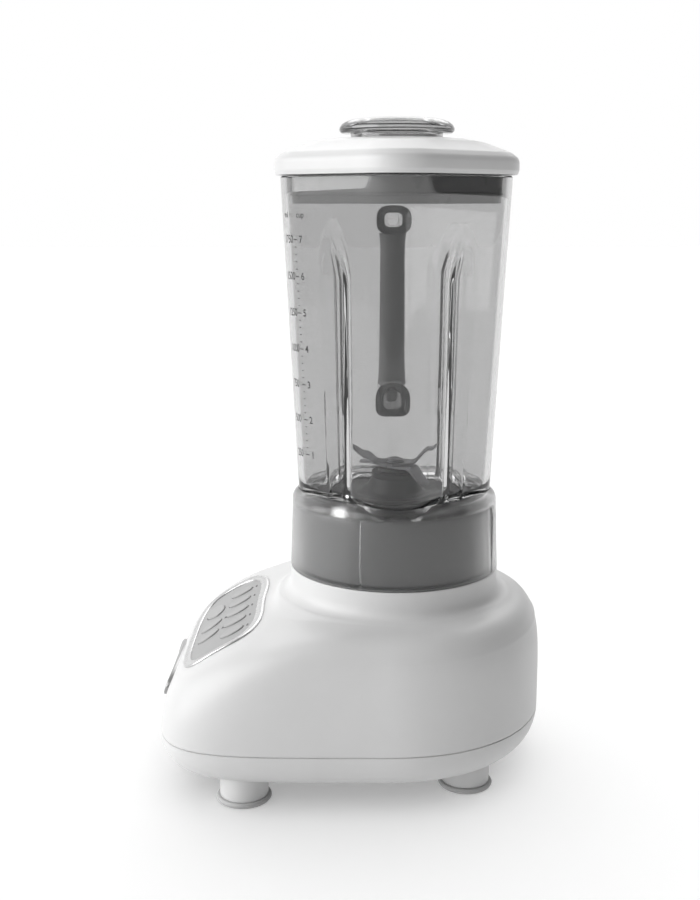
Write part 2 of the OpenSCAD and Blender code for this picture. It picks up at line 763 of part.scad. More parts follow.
upper_housing();
bottom_cover();
foot_posts();
foot(0);  // front_left_foot
foot(1);  // front_right_foot
foot(2);  // rear_left_foot
foot(3);  // rear_right_foot
panel_bezel();
panel_plate();
indicator_lenses();
front_badge();
seat_pad();
stator_core();
field_coils();
lower_bracket();
upper_bracket();
lower_bearing();
upper_bearing();
brush_holders();
carbon_brushes();
brush_springs();
motor_grommets();
motor_screws();
control_board();
board_switches();
board_screws();
cover_screws();
cord_gland();
motor_shaft();
armature_core();
armature_windings();
commutator();
cooling_fan();
drive_coupler();
jar();
handle_grip();
collar();
collar_core();
jar_gasket();
blade_carrier();
blade_bushes();
shaft_seal();
blade_shaft();
upper_blade();
lower_blade();
blade_washer();
cap_nut();
jar_coupler();
lid();
lid_seal();
filler_cap();
oval_key(1);  // speed_key_1
oval_key(2);  // speed_key_2
oval_key(3);  // speed_key_3
oval_key(4);  // speed_key_4
oval_key(5);  // speed_key_5
oval_key(6);  // pulse_key
oval_key(7);  // ice_key
power_key();
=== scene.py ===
import math

import bpy
import bmesh
import numpy as np
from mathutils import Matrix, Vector, geometry


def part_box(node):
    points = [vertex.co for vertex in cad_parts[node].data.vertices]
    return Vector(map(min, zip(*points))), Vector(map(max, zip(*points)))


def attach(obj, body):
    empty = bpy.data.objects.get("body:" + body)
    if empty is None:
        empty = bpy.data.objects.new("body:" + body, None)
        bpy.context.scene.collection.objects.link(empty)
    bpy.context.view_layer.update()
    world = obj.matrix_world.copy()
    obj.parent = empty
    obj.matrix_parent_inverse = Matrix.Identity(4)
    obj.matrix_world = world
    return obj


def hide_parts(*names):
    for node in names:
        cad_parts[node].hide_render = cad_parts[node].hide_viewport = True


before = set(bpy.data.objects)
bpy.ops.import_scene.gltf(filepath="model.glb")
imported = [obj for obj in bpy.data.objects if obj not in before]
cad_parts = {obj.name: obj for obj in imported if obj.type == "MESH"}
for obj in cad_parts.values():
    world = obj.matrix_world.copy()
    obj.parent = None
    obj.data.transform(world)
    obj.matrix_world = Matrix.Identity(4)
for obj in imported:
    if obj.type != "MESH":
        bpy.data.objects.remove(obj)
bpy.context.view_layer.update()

# Lengths are millimetres, measured from the drive axis and the table, until make() turns them into metres.
# +Z is up, -Y is the front and -X is the handle's side.
MM = 0.001
DRIVE = (np.array(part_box("motor_shaft")) / MM).mean(0) * [1, 1, 0]


def low(node):
    return np.array(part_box(node)[0]) / MM - DRIVE


def high(node):
    return np.array(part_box(node)[1]) / MM - DRIVE


# ---- Sizes read from the frame ----
SEAM_Z = low("upper_housing")[2]
COVER_Z = low("cover_screws")[2] + 2
SEAT_Z = low("collar")[2]
PAD_R = (high("seat_pad")[0] - 6.4, high("seat_pad")[0])
COLLAR_R = PAD_R[1] + 6.3
HALF_W = high("upper_housing")[0]
FRONT = -low("upper_housing")[1]
BACK = high("upper_housing")[1]
MOUTH_Z = high("jar")[2]
GRIP_TOP = high("handle_grip")[2]
HANDLE_REACH = -low("jar")[0]
CAP_TOP = high("filler_cap")[2]
CAP_R = high("filler_cap")[0]
LID_REACH = high("lid")[0]
SEAL_TOP = high("lid_seal")[2]
SEAL_FOOT = low("lid_seal")[2]
CORE_R = high("collar_core")[0]

# ---- Base body: a rounded outline that closes over to the shelf and in to the cover ----
SHELF_Z = 114.5
BELT_Y = -6
TOP_HALF_W, TOP_FRONT, TOP_BACK = 66, 14, 66
FRONT_POWER, SIDE_POWER, BACK_POWER = 2.1, 4.6, 5
PLAN_FRONT_POWER, PLAN_BACK_POWER = 5.3, 2.15
TUCK = 21
SEAT_FILLET, SHELF_SLOPE, SHELF_W = 8, 0.72, 34
BOSS_R, BOSS_Z, WELL_R, WELL_Z = 52, 146, 25, 130
HOUSING_WALL, COVER_WALL = 5, 3
POST_R, POST_Z = 15.6, 3.2
BASE_POINTS = 288

# ---- Key panel: its face is part of a wide cylinder ----
PANEL_APEX = np.array([0, -113, 92.8])
PANEL_TILT = math.radians(30.4)
PANEL_R = 158.8
PANEL_HALF = (66.5, 31)
PANEL_POWER = 3.6
PANEL_DIP, PANEL_DIP_W = 0.06, 28
PANEL_BLEND, PANEL_DEPTH = 16, 25
BEZEL_W = 6
KEY_GAP = 0.4
KEY_PROUD, KEY_FOOT, KEY_EDGE = 0.9, -5, 0.7
OVAL_HALF = (6, 8.2)
LEAF_AT, LEAF_HALF = (-27.5, -12), (12.6, 7.4)
KEY_PITCH = 20
UPPER_ROW, LOWER_ROW = 8.5, -12
DASH_HALF, DASH_GAP = (1.6, 0.6), 3

# ---- Jar, with a groove down each flat that widens upwards and leans out at its top ----
JAR_FOOT = 178
FOOT_REACH, MOUTH_REACH, JAR_CORNER = 62.8, high("jar")[0], 28
JAR_WALL = 3.8
NECK_R, NECK_Z, FLOOR_Z, HOLE_R = 57, low("jar")[2], 182, 50
FLUTE_R, FLUTE_WIDEN, FLUTE_DEPTH = 7.0, 6.0, 4.5
FLUTE_FOOT, FLUTE_RUN = 195, 135
FLUTE_BEND, FLUTE_LEAN = 322, math.radians(12)

# ---- Handle. Each arm's outline, upper then lower, is its rise, its fall and its power above and below ----
GRIP_FOOT = 242
ARM_MID = ((GRIP_TOP + 366) / 2, (GRIP_FOOT + 218) / 2)
ARM_DROP, ARM_LEAN = 3.3, 0.06
ARM_HALF_W, ARM_OUTLINES = 15.9, ((10, 10, (2.7, 2.7)), (13.2, 10.6, (2.6, 3.4)))
BORE_HALF_W, BORE_OUTLINES = 10.1, ((5.8, 5.8, (3.4, 3.4)), (8.6, 6.4, (2.8, 3.4)))
RING_X = 4 - HANDLE_REACH

# ---- Printed scale: heights, and distances round the jar from its front corner's middle ----
SCALE_TOP, SCALE_STEP, SCALE_STEPS, SCALE_ML = 345.5, 22.7, 7, 250
ML_AT, LINE_AT, FINE_LINE_AT, CUP_AT = 9.5, 20.2, 21.0, 25.0
UNITS_Z, ML_UNIT_AT, CUP_UNIT_AT = 360.5, 10.5, 23.5
PRINT_HEIGHT, PRINT_WEIGHT = 0.06, 0.07

# ---- Camera ----
CAMERA_AT, CAMERA_PITCH, CAMERA_LENS = np.array([785, -29.3, 369.7]), 11.62, 48.68

# Edges that turn by more than this many degrees are drawn sharp.
SHARP = 32


# ---- Small helpers ----

def spow(v, p):
    return np.sign(v) * np.abs(v) ** p


def circle(count):
    """Angles of count points round a circle."""
    return np.linspace(0, 2 * math.pi, count, endpoint=False)


def polar(r, a, z):
    """Points at radius r, angle a and height z."""
    return np.stack([r * np.cos(a), r * np.sin(a), np.zeros_like(a) + z], 1)


def smooth_step(x, x0, x1):
    """0 before x0, 1 after x1 and a smooth rise between them."""
    t = np.clip((x - x0) / (x1 - x0), 0, 1)
    return t * t * (3 - 2 * t)


def smooth_max(a, b, k):
    """The larger of two values, blended where they are less than k apart."""
    h = np.clip(k - np.abs(a - b), 0, None) / k
    return np.maximum(a, b) + h * h * k / 4


def rounded(points, steps, closed=True):
    """A polyline of (x, y) or (x, y, radius) points with its corners rounded to their radius, in steps."""
    out, n = [], len(points)
    for i, p in enumerate(points):
        here = np.array(p[:2], float)
        radius = p[2] if len(p) > 2 else 0
        if radius == 0 or (not closed and i in (0, n - 1)):
            out.append(here)
            continue
        a, b = np.array(points[i - 1][:2], float) - here, np.array(points[(i + 1) % n][:2], float) - here
        la, lb = np.linalg.norm(a), np.linalg.norm(b)
        a, b = a / la, b / lb
        half = math.acos(np.clip(a @ b, -1, 1)) / 2
        if half > math.radians(89):
            out.append(here)
            continue
        cut = min(radius / math.tan(half), 0.48 * la, 0.48 * lb)
        middle = here + (a + b) / np.linalg.norm(a + b) * cut / math.cos(half)
        start, end = here + a * cut - middle, here + b * cut - middle
        turn = math.atan2(start[0] * end[1] - start[1] * end[0], start @ end)
        for t in np.linspace(0, 1, steps + 1):
            c, s = math.cos(turn * t), math.sin(turn * t)
            out.append(middle + [c * start[0] - s * start[1], s * start[0] + c * start[1]])
    return np.array(out)


def resample(points, count):
    """The same open polyline with evenly spaced points."""
    points = np.asarray(points, float)
    along = np.concatenate([[0], np.cumsum(np.linalg.norm(np.diff(points, axis=0), axis=1))])
    at = np.linspace(0, along[-1], count)
    return np.stack([np.interp(at, along, points[:, k]) for k in range(points.shape[1])], 1)


def loft(rings, loop=False):
    """Vertices and faces of a skin through closed rings. loop joins the last ring to the first, and otherwise
    both are filled."""
    rings = [np.asarray(r, float) for r in rings]
    n, m = len(rings[0]), len(rings)
    verts = np.concatenate(rings)
    faces = []
    for k in range(m if loop else m - 1):
        a, b = k * n, (k + 1) % m * n
        for i in range(n):
            j = (i + 1) % n
            faces.append((a + i, a + j, b + j, b + i))
    if not loop:
        faces.append(tuple(reversed(range(n))))
        faces.append(tuple(range((m - 1) * n, m * n)))
    return verts, faces


def revolve(profile, steps, loop=True, around=(0, 0)):
    """Skin of a profile of (radius, height) points turned about a vertical axis."""
    return loft([polar(r, circle(steps), z) + [*around, 0] for r, z in profile], loop=loop)


def join(*parts):
    """One vertex and face list from several."""
    verts, faces, base = [], [], 0
    for v, f in parts:
        verts.append(np.asarray(v, float))
        faces += [tuple(i + base for i in q) for q in f]
        base += len(v)
    return np.concatenate(verts), faces


def turned(plan, z, turn):
    """Ring at height z from plan points that are turned about the drive axis."""
    c, s = math.cos(turn), math.sin(turn)
    x, y = plan[:, 0], plan[:, 1]
    return np.stack([x * c - y * s, x * s + y * c, np.zeros(len(plan)) + z], 1)


def make(name, shape, material, body=None, replaces=(), sharp=SHARP):
    """A smooth-shaded object from vertices and faces. Without a body it is a tool for combine()."""
    verts, faces = shape
    mesh = bpy.data.meshes.new(name)
    mesh.from_pydata(((np.asarray(verts) + DRIVE) * MM).tolist(), [], faces)
    bm = bmesh.new()
    bm.from_mesh(mesh)
    bmesh.ops.remove_doubles(bm, verts=bm.verts, dist=1e-6)
    bmesh.ops.dissolve_degenerate(bm, edges=bm.edges, dist=1e-7)
    bmesh.ops.recalc_face_normals(bm, faces=bm.faces)
    bm.to_mesh(mesh)
    bm.free()
    obj = add(name, mesh)
    mesh.shade_smooth()
    mesh.set_sharp_from_angle(angle=math.radians(sharp))
    if material is not None:
        mesh.materials.append(material)
    if body:
        settle(obj, body, replaces)
    return obj


def add(name, data):
    """A new object in the scene."""
    obj = bpy.data.objects.new(name, data)
    bpy.context.scene.collection.objects.link(obj)
    return obj


def applied(obj):
    """A new mesh from an object with its modifiers applied."""
    bpy.context.view_layer.update()
    return bpy.data.meshes.new_from_object(obj.evaluated_get(bpy.context.evaluated_depsgraph_get()))


def settle(obj, body, replaces):
    """Puts a piece on a body and the CAD nodes that it replaces."""
    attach(obj, body)
    if replaces:
        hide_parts(*replaces)


def combine(obj, tool, how="DIFFERENCE"):
    """Applies an exact boolean of tool to obj and removes tool."""
    step = obj.modifiers.new("combine", "BOOLEAN")
    step.operation, step.solver, step.object = how, "EXACT", tool
    made = applied(obj)
    obj.modifiers.clear()
    obj.data = made
    bpy.data.objects.remove(tool)
    made.shade_smooth()
    made.set_sharp_from_angle(angle=math.radians(SHARP))


def bevel(obj, width):
    step = obj.modifiers.new("bevel", "BEVEL")
    step.width, step.segments = width * MM, 2
    step.limit_method, step.angle_limit = "ANGLE", math.radians(SHARP)
    step.harden_normals = True


def use_only(mesh, material):
    mesh.materials.clear()
    mesh.materials.append(material)


# ---- Materials ----

def principled(name, color, rough, **sockets):
    """A material with its shader. color is one grey level or three values, and sockets are given by name."""
    mat = bpy.data.materials.new(name)
    mat.use_nodes = True
    shader = mat.node_tree.nodes["Principled BSDF"]
    rgb = (color, color, color) if np.isscalar(color) else color
    shader.inputs["Base Color"].default_value = (*rgb, 1)
    shader.inputs["Roughness"].default_value = rough
    for key, value in sockets.items():
        shader.inputs[key.replace("_", " ")].default_value = value
    return mat


def noise(mat, scale, detail=3, stretch=(1, 1, 1)):
    """A noise texture in object space; stretch pulls it out along an axis."""
    nodes, links = mat.node_tree.nodes, mat.node_tree.links
    place = nodes.new("ShaderNodeTexCoord")
    mapping = nodes.new("ShaderNodeMapping")
    mapping.inputs["Scale"].default_value = stretch
    links.new(place.outputs["Object"], mapping.inputs["Vector"])
    tex = nodes.new("ShaderNodeTexNoise")
    tex.inputs["Scale"].default_value = scale
    tex.inputs["Detail"].default_value = detail
    links.new(mapping.outputs["Vector"], tex.inputs["Vector"])
    return tex.outputs["Fac"]


def feed(mat, socket, output):
    """Links a node's output to one of the shader's sockets."""
    mat.node_tree.links.new(output, mat.node_tree.nodes["Principled BSDF"].inputs[socket])


def shade(mat, source, spread):
    """Varies the base colour by source between (1 - spread) and (1 + spread) times itself."""
    base = np.array(mat.node_tree.nodes["Principled BSDF"].inputs["Base Color"].default_value[:3])
    ramp = mat.node_tree.nodes.new("ShaderNodeValToRGB")
    ramp.color_ramp.elements[0].position = 0.3
    ramp.color_ramp.elements[1].position = 0.7
    ramp.color_ramp.elements[0].color = (*(base * (1 - spread)), 1)
    ramp.color_ramp.elements[1].color = (*np.minimum(base * (1 + spread), 1), 1)
    mat.node_tree.links.new(source, ramp.inputs["Fac"])
    feed(mat, "Base Color", ramp.outputs["Color"])


def roughen(mat, source, lowest, highest):
    spread = mat.node_tree.nodes.new("ShaderNodeMapRange")
    spread.inputs["To Min"].default_value = lowest
    spread.inputs["To Max"].default_value = highest
    mat.node_tree.links.new(source, spread.inputs["Value"])
    feed(mat, "Roughness", spread.outputs["Result"])


def bump(mat, source, height):
    """Raises the surface by source, by up to height millimetres."""
    node = mat.node_tree.nodes.new("ShaderNodeBump")
    node.inputs["Distance"].default_value = height * MM
    mat.node_tree.links.new(source, node.inputs["Height"])
    feed(mat, "Normal", node.outputs["Normal"])


def moulded(name, color, rough, grain=900, depth=0.03, spread=0.015, **sockets):
    """Moulded plastic or rubber: a fine grain, with slow changes of tone and gloss."""
    mat = principled(name, color, rough, **sockets)
    shade(mat, noise(mat, 35), spread)
    roughen(mat, noise(mat, 60), rough * 0.9, rough * 1.1)
    bump(mat, noise(mat, grain, 2), depth)
    return mat


def metal(name, color, rough, stretch=(1, 1, 30), **sockets):
    """Metal with fine lines left by its grinding or drawing."""
    mat = principled(name, color, rough, Metallic=1.0, **sockets)
    lines = noise(mat, 150, 4, stretch)
    shade(mat, lines, 0.05)
    roughen(mat, lines, rough * 0.75, rough * 1.25)
    bump(mat, lines, 0.01)
    return mat


def clear(name, color, rough, wave=0.004):
    """Clear moulded plastic with a faint flow ripple."""
    mat = principled(name, color, rough, IOR=1.49, Transmission_Weight=1)
    shade(mat, noise(mat, 12), 0.006)
    bump(mat, noise(mat, 30, 1), wave)
    return mat


WHITE = moulded("white_housing", 0.61, 0.42, grain=1300, depth=0.035)
WHITE_LID = moulded("white_lid", 0.59, 0.38, grain=1300, depth=0.03)
FOOT = moulded("foot_rubber", 0.42, 0.6)
SILVER = metal("silver_trim", 0.62, 0.28, stretch=(1, 1, 1))
PANEL = moulded("panel_grey", 0.32, 0.45)
KEY = moulded("key_grey", 0.34, 0.42)
LENS = moulded("indicator", 0.10, 0.25)
BADGE = metal("badge_grey", 0.36, 0.32, stretch=(1, 1, 1))
RUBBER = moulded("dark_rubber", 0.05, 0.55)
LAMINATION = metal("lamination_steel", (0.33, 0.35, 0.38), 0.5, stretch=(0.05, 0.05, 12))
COPPER = metal("copper_winding", (0.60, 0.27, 0.12), 0.35, stretch=(0.2, 0.2, 14))
PLATED = metal("plated_steel", (0.66, 0.67, 0.68), 0.35)
BEARING = metal("bearing_steel", (0.60, 0.61, 0.63), 0.22)
HOLDER = metal("brass_holder", (0.68, 0.50, 0.22), 0.35)
CARBON = moulded("carbon", 0.03, 0.6)
BOARD = moulded("board_green", (0.03, 0.16, 0.07), 0.4)
BLACK = moulded("black_plastic", 0.03, 0.45)
COUPLER = moulded("coupler_black", 0.035, 0.4)
CLEAR_JAR = clear("clear_jar", 0.62, 0, wave=0.001)
CLEAR_COLLAR = clear("frosted_collar", 0.86, 0.26)
GRIP = moulded("grip_grey", 0.11, 0.45, grain=300, depth=0.002, spread=0.004)
CORE = moulded("dark_plastic", 0.20, 0.5, grain=300, depth=0.002, spread=0.004)
CARRIER = moulded("carrier_plastic", 0.10, 0.4, depth=0.01)
DOME = moulded("dome_plastic", 0.018, 0.4, depth=0.01)
BRONZE = metal("bronze", (0.45, 0.30, 0.16), 0.4)
BLADE = metal("blade_steel", (0.30, 0.30, 0.31), 0.45)
SEAL = moulded("seal_grey", 0.44, 0.28, depth=0.01)
SMOKE = clear("smoke_cap", 0.42, 0.02)
PRINT = moulded("print_grey", 0.02, 0.6)


# ---- Base ----

def superellipse_hit(a, half_w, front, back):
    """Distance from the drive axis to the plan outline in direction a, by halving the gap it lies in."""
    halvings, widest = 46, 260.0
    x, y = np.cos(a), np.sin(a)
    lo, hi = np.zeros_like(a * half_w), np.full_like(a * half_w, widest)
    for _ in range(halvings):
        r = (lo + hi) / 2
        off = r * y - BELT_Y
        length = np.where(off < 0, front, back)
        p = np.where(off < 0, PLAN_FRONT_POWER, PLAN_BACK_POWER)
        inside = (np.abs(r * x) / half_w) ** p + (np.abs(off) / length) ** p < 1
        lo, hi = np.where(inside, r, lo), np.where(inside, hi, r)
    return (lo + hi) / 2


def round_over(u, p):
    """Falls from 1 to 0 as u goes from 0 to 1, along a superellipse of power p."""
    return (1 - np.minimum(1, u) ** p) ** (1 / p)


def base_radius(a, z, inset=0):
    """Radius of the base's skin in direction a at height z."""
    rise = np.clip((z - SEAM_Z) / (SHELF_Z - SEAM_Z), 0, 1)
    drop = np.clip((SEAM_Z - z) / (SEAM_Z - COVER_Z), 0, 1)
    tuck = TUCK * (1 - np.sqrt(1 - drop ** 2)) + inset
    half_w = TOP_HALF_W + (HALF_W - TOP_HALF_W) * round_over(rise, SIDE_POWER) - tuck
    front = TOP_FRONT + (FRONT + BELT_Y - TOP_FRONT) * round_over(rise, FRONT_POWER) - tuck
    back = TOP_BACK + (BACK - BELT_Y - TOP_BACK) * round_over(rise, BACK_POWER) - tuck
    return superellipse_hit(a, half_w, front, back)


def seat_height(r):
    """The fillet at the foot of the jar seat, and the flare that carries it into the shelf."""
    u = np.clip(r - COLLAR_R, 0, SEAT_FILLET)
    fillet = SHELF_Z + SEAT_FILLET - np.sqrt(SEAT_FILLET ** 2 - (SEAT_FILLET - u) ** 2)
    return fillet - SHELF_SLOPE * np.clip(r - COLLAR_R - SEAT_FILLET, 0, None)


def panel_local(p):
    """Panel coordinates (across, up the slope, out of the face) of points in drive coordinates."""
    q = np.asarray(p) - PANEL_APEX
    c, s = math.cos(PANEL_TILT), math.sin(PANEL_TILT)
    return np.stack([q[..., 0], q[..., 1] * c + q[..., 2] * s, -q[..., 1] * s + q[..., 2] * c], -1)


def panel_world(x, s, h):
    """Point in drive coordinates at height h over the panel's curved face."""
    x, s, h = np.broadcast_arrays(np.asarray(x, float), s, h)
    up = np.sqrt((PANEL_R + h) ** 2 - s ** 2) - PANEL_R
    c, n = math.cos(PANEL_TILT), math.sin(PANEL_TILT)
    return np.stack([x, s * c - up * n, s * n + up * c], -1) + PANEL_APEX


def panel_outline(inset):
    """Outline of the panel. Its upper edge dips a little in the middle."""
    count = 144
    a = circle(count)
    x = (PANEL_HALF[0] - inset) * spow(np.cos(a), 2 / PANEL_POWER)
    s = (PANEL_HALF[1] - inset) * spow(np.sin(a), 2 / PANEL_POWER)
    s = np.where(s > 0, s * (1 - PANEL_DIP * np.exp(-(x / PANEL_DIP_W) ** 2)), s)
    return resample_ring(np.stack([x, s], 1), count)


def resample_ring(ring, count):
    return resample(np.concatenate([ring, ring[:1]]), count + 1)[:-1]


def conform_to_panel(p):
    """Draws the skin onto the panel's curved face where the panel lies, and lets it go outside."""
    mean_half = 40
    q = panel_local(p)
    x, s = q[..., 0], q[..., 1]
    size = (np.abs(x) / PANEL_HALF[0]) ** PANEL_POWER + (np.abs(s) / PANEL_HALF[1]) ** PANEL_POWER
    size = size ** (1 / PANEL_POWER)
    outward = (size - 1) * mean_half
    weight = (1 - smooth_step(outward, 0, PANEL_BLEND)) * (q[..., 2] > -PANEL_DEPTH)
    face = np.sqrt(np.maximum(PANEL_R ** 2 - s ** 2, 0)) - PANEL_R
    shift = (face - q[..., 2]) * weight
    c, n = math.cos(PANEL_TILT), math.sin(PANEL_TILT)
    return np.asarray(p) + np.stack([0 * shift, -shift * n, shift * c], -1)


def housing_rings(side_rings, top_rings):
    """Rings of the housing's outer skin, from the seam up the side and over to the seat wall."""
    a = circle(BASE_POINTS)
    u = 1 - (1 - np.linspace(0, 1, 70)) ** 3
    z = SEAM_Z + (SHELF_Z - SEAM_Z) * u
    radius = base_radius(a[None, :], z[:, None])
    rows = []
    for side in radius.T:
        turn_in = min(COLLAR_R + SHELF_W, side[0] - 3)
        r_top = np.linspace(turn_in, COLLAR_R, 60)
        skin = np.interp(r_top, side[::-1], z[::-1])
        top = smooth_max(skin, seat_height(r_top), 3)
        keep = side > turn_in
        r_line = np.concatenate([side[keep], r_top])
        z_line = np.concatenate([z[keep], top])
        cut = np.argmin(np.abs(r_line - turn_in))
        line = np.stack([r_line, z_line], 1)
        rows.append(np.concatenate([resample(line[:cut + 1], side_rings)[:-1],
                                    resample(line[cut:], top_rings)]))
    rows = np.array(rows)
    return [polar(rows[:, k, 0], a, rows[:, k, 1]) for k in range(rows.shape[1])]


def circle_ring(r, z):
    return polar(r, circle(BASE_POINTS), z)


def skin_ring(z, inset, at=None):
    """Ring of the base's skin at z, drawn in by inset. at puts it at another height."""
    r = base_radius(circle(BASE_POINTS), np.full(BASE_POINTS, float(z)), inset)
    return circle_ring(r, z if at is None else at)


def build_housing():
    """Upper housing: outer skin, jar seat with its boss and well, and inner skin."""
    outer = [conform_to_panel(ring) for ring in housing_rings(60, 34)]
    outer[0] = skin_ring(SEAM_Z, 0.7, SEAM_Z + 0.25)
    outer.insert(1, skin_ring(SEAM_Z, 0.1, SEAM_Z + 0.7))
    seat = rounded([
        (COLLAR_R, SEAT_Z - 3), (COLLAR_R, SEAT_Z, 0.8), (PAD_R[1], SEAT_Z, 0.3), (PAD_R[1], SEAT_Z - 3),
        (PAD_R[0], SEAT_Z - 3), (PAD_R[0], SEAT_Z, 0.3), (BOSS_R, SEAT_Z, 0.6), (BOSS_R, BOSS_Z, 2.5),
        (WELL_R, BOSS_Z, 1), (WELL_R, WELL_Z, 1), (8, WELL_Z), (8, WELL_Z - 3), (WELL_R + 3, WELL_Z - 3),
        (WELL_R + 3, BOSS_Z - 3), (BOSS_R - 3, BOSS_Z - 3), (BOSS_R - 3, SEAT_Z - 5),
        (COLLAR_R - 4, SEAT_Z - 5), (COLLAR_R - 4, SHELF_Z - 6),
    ], steps=4, closed=False)
    inner = [skin_ring(z, HOUSING_WALL, z - 3) for z in np.linspace(SHELF_Z - 3, SEAM_Z + 3.3, 14)]
    rings = outer + [circle_ring(r, z) for r, z in seat] + inner
    housing = make("upper_housing_shell", loft(rings, loop=True), WHITE, sharp=40)
    plate = panel_outline(BEZEL_W / 2)
    hole = [panel_world(plate[:, 0], plate[:, 1], h) for h in (-16, 8)]
    combine(housing, make("panel_cutter", loft(hole), None))
    settle(housing, "base", ["upper_housing"])


def build_cover():
    """Bottom cover: skin below the seam, and a flat underside with vent slots."""
    drop = 1 - np.cos(np.linspace(0, math.pi / 2, 15))
    heights = COVER_Z + (SEAM_Z - COVER_Z) * drop[::-1]
    outer = [skin_ring(SEAM_Z, 2.4, SEAM_Z + 0.1), skin_ring(SEAM_Z, 0.75, SEAM_Z + 0.1),
             skin_ring(SEAM_Z, 0.1, SEAM_Z - 0.35)]
    outer += [skin_ring(z, 0) for z in heights[1:]]
    inner = [skin_ring(z, COVER_WALL, z + COVER_WALL) for z in heights[:0:-1]]
    inner[-1] = skin_ring(SEAM_Z, COVER_WALL + 0.4, SEAM_Z - 1)
    flat = [circle_ring(12, COVER_Z), circle_ring(0.5, COVER_Z),
            circle_ring(0.5, COVER_Z + COVER_WALL), circle_ring(12, COVER_Z + COVER_WALL)]
    cover = make("bottom_cover_shell", loft(outer + flat + inner, loop=True), WHITE, sharp=40)
    slot = rounded([(15, -2, 1.9), (40, -2, 1.9), (40, 2, 1.9), (15, 2, 1.9)], steps=6)
    slots = []
    for turn in np.radians(np.arange(0, 360, 30)):
        slots.append(loft([turned(slot, z, turn) for z in (COVER_Z - 5, COVER_Z + 8)]))
    combine(cover, make("slot_cutter", join(*slots), None))
    settle(cover, "base", ["bottom_cover"])


def build_feet():
    post = rounded([(0, COVER_Z + 4), (POST_R, COVER_Z + 4), (POST_R - 0.4, POST_Z, 0.6), (0, POST_Z)],
                   steps=4, closed=False)
    posts = []
    for name in ("front_left", "front_right", "rear_left", "rear_right"):
        middle = (low(f"{name}_foot") + high(f"{name}_foot")) / 2
        posts.append(revolve(post, 64, loop=False, around=middle[:2]))
        build_foot(name, middle[:2])
    make("foot_post_set", join(*posts), WHITE, "base", ["foot_posts"])


def build_foot(name, at):
    pad = rounded([(0, POST_Z), (POST_R + 1, POST_Z, 0.6), (17.5, 1.6, 1.2), (16.4, 0, 0.8), (13, 0, 0.5),
                   (12, 0.8, 0.5), (0, 0.8)], steps=4, closed=False)
    shape = revolve(pad, 64, loop=False, around=at)
    make(f"{name}_pad", shape, FOOT, "base", [f"{name}_foot"])


# ---- Key panel ----

def panel_ring(inset, height):
    ring = panel_outline(inset)
    return panel_world(ring[:, 0], ring[:, 1], height)


def build_bezel():
    """Silver rim, as (inset, height) points."""
    section = [(0.5, -4), (0.5, -0.1), (0.15, 0.1), (0.1, 0.5), (0.35, 0.95), (0.9, 1.25), (1.6, 1.3),
               (2.3, 1.15), (3.0, 0.95), (4.2, 0.85), (4.8, 0.95), (5.3, 0.95), (5.7, 0.7), (5.9, 0.3),
               (BEZEL_W, -0.5), (BEZEL_W, -4)]
    rings = [panel_ring(inset, height) for inset, height in section]
    make("panel_bezel_rim", loft(rings, loop=True), SILVER, "base", ["panel_bezel"], sharp=50)


def oval_outline(centre, grow=0.0):
    a = circle(48)
    return np.stack([centre[0] + (OVAL_HALF[0] + grow) * np.cos(a),
                     centre[1] + (OVAL_HALF[1] + grow) * np.sin(a)], 1)


def leaf_outline(grow=0.0):
    """Outline of the power key: an oval with pointed ends, sheared upwards to the right."""
    count = 72
    a = circle(count)
    x = (LEAF_HALF[0] + grow) * spow(np.cos(a), 0.9)
    s = (LEAF_HALF[1] + grow) * spow(np.sin(a), 1.35) + 2.6 * np.cos(a)
    return resample_ring(np.stack([x + LEAF_AT[0], s + LEAF_AT[1]], 1), count)


def dash_outline(centre, grow=0.0):
    x, s = centre[0], centre[1] + OVAL_HALF[1] + DASH_GAP
    half_x, half_s = DASH_HALF
    return rounded([(x - half_x - grow, s - half_s - grow, 0.5), (x + half_x + grow, s - half_s - grow, 0.5),
                    (x + half_x + grow, s + half_s + grow, 0.5), (x - half_x - grow, s + half_s + grow, 0.5)],
                   steps=4)


KEY_PLACES = {f"speed_key_{n}": ((n - 3) * KEY_PITCH, UPPER_ROW) for n in range(1, 6)}
KEY_PLACES |= {"pulse_key": (0, LOWER_ROW), "ice_key": (KEY_PITCH, LOWER_ROW)}


def inside(points, ring):
    """Which points lie inside a closed ring."""
    x, y = points[:, 0:1], points[:, 1:2]
    x0, y0 = ring[:, 0], ring[:, 1]
    x1, y1 = np.roll(x0, -1), np.roll(y0, -1)
    with np.errstate(divide="ignore", invalid="ignore"):
        crosses = ((y0 > y) != (y1 > y)) & (x < (x1 - x0) * (y - y0) / (y1 - y0) + x0)
    return crosses.sum(1) % 2 == 1


def pierced_plate(outline, holes, pitch):
    """Triangles of a flat shape with holes, and enough inner points to bend it."""
    rings = [outline, *holes]
    points, edges, base = [], [], 0
    for ring in rings:
        points += [tuple(p) for p in ring]
        edges += [(base + i, base + (i + 1) % len(ring)) for i in range(len(ring))]
        base += len(ring)
    lo, hi = outline.min(0), outline.max(0)
    across, up = np.meshgrid(np.arange(lo[0], hi[0], pitch), np.arange(lo[1], hi[1], pitch))
    grid = np.stack([across, up], -1).reshape(-1, 2)
    grid = grid[inside(grid, outline)]
    for ring in holes:
        grid = grid[~inside(grid, ring)]
    for ring in rings:
        gap = np.linalg.norm(grid[:, None, :] - ring[None, :, :], axis=2).min(1)
        grid = grid[gap > pitch * 0.4]
    points += [tuple(p) for p in grid]
    flat, _, faces, *_ = geometry.delaunay_2d_cdt([Vector(p) for p in points], edges, [], 0, 1e-5)
    flat = np.array([tuple(p) for p in flat])
    faces = np.array([tuple(f) for f in faces])
    middle = flat[faces].mean(1)
    keep = inside(middle, outline)
    for ring in holes:
        keep &= ~inside(middle, ring)
    return flat, faces[keep]


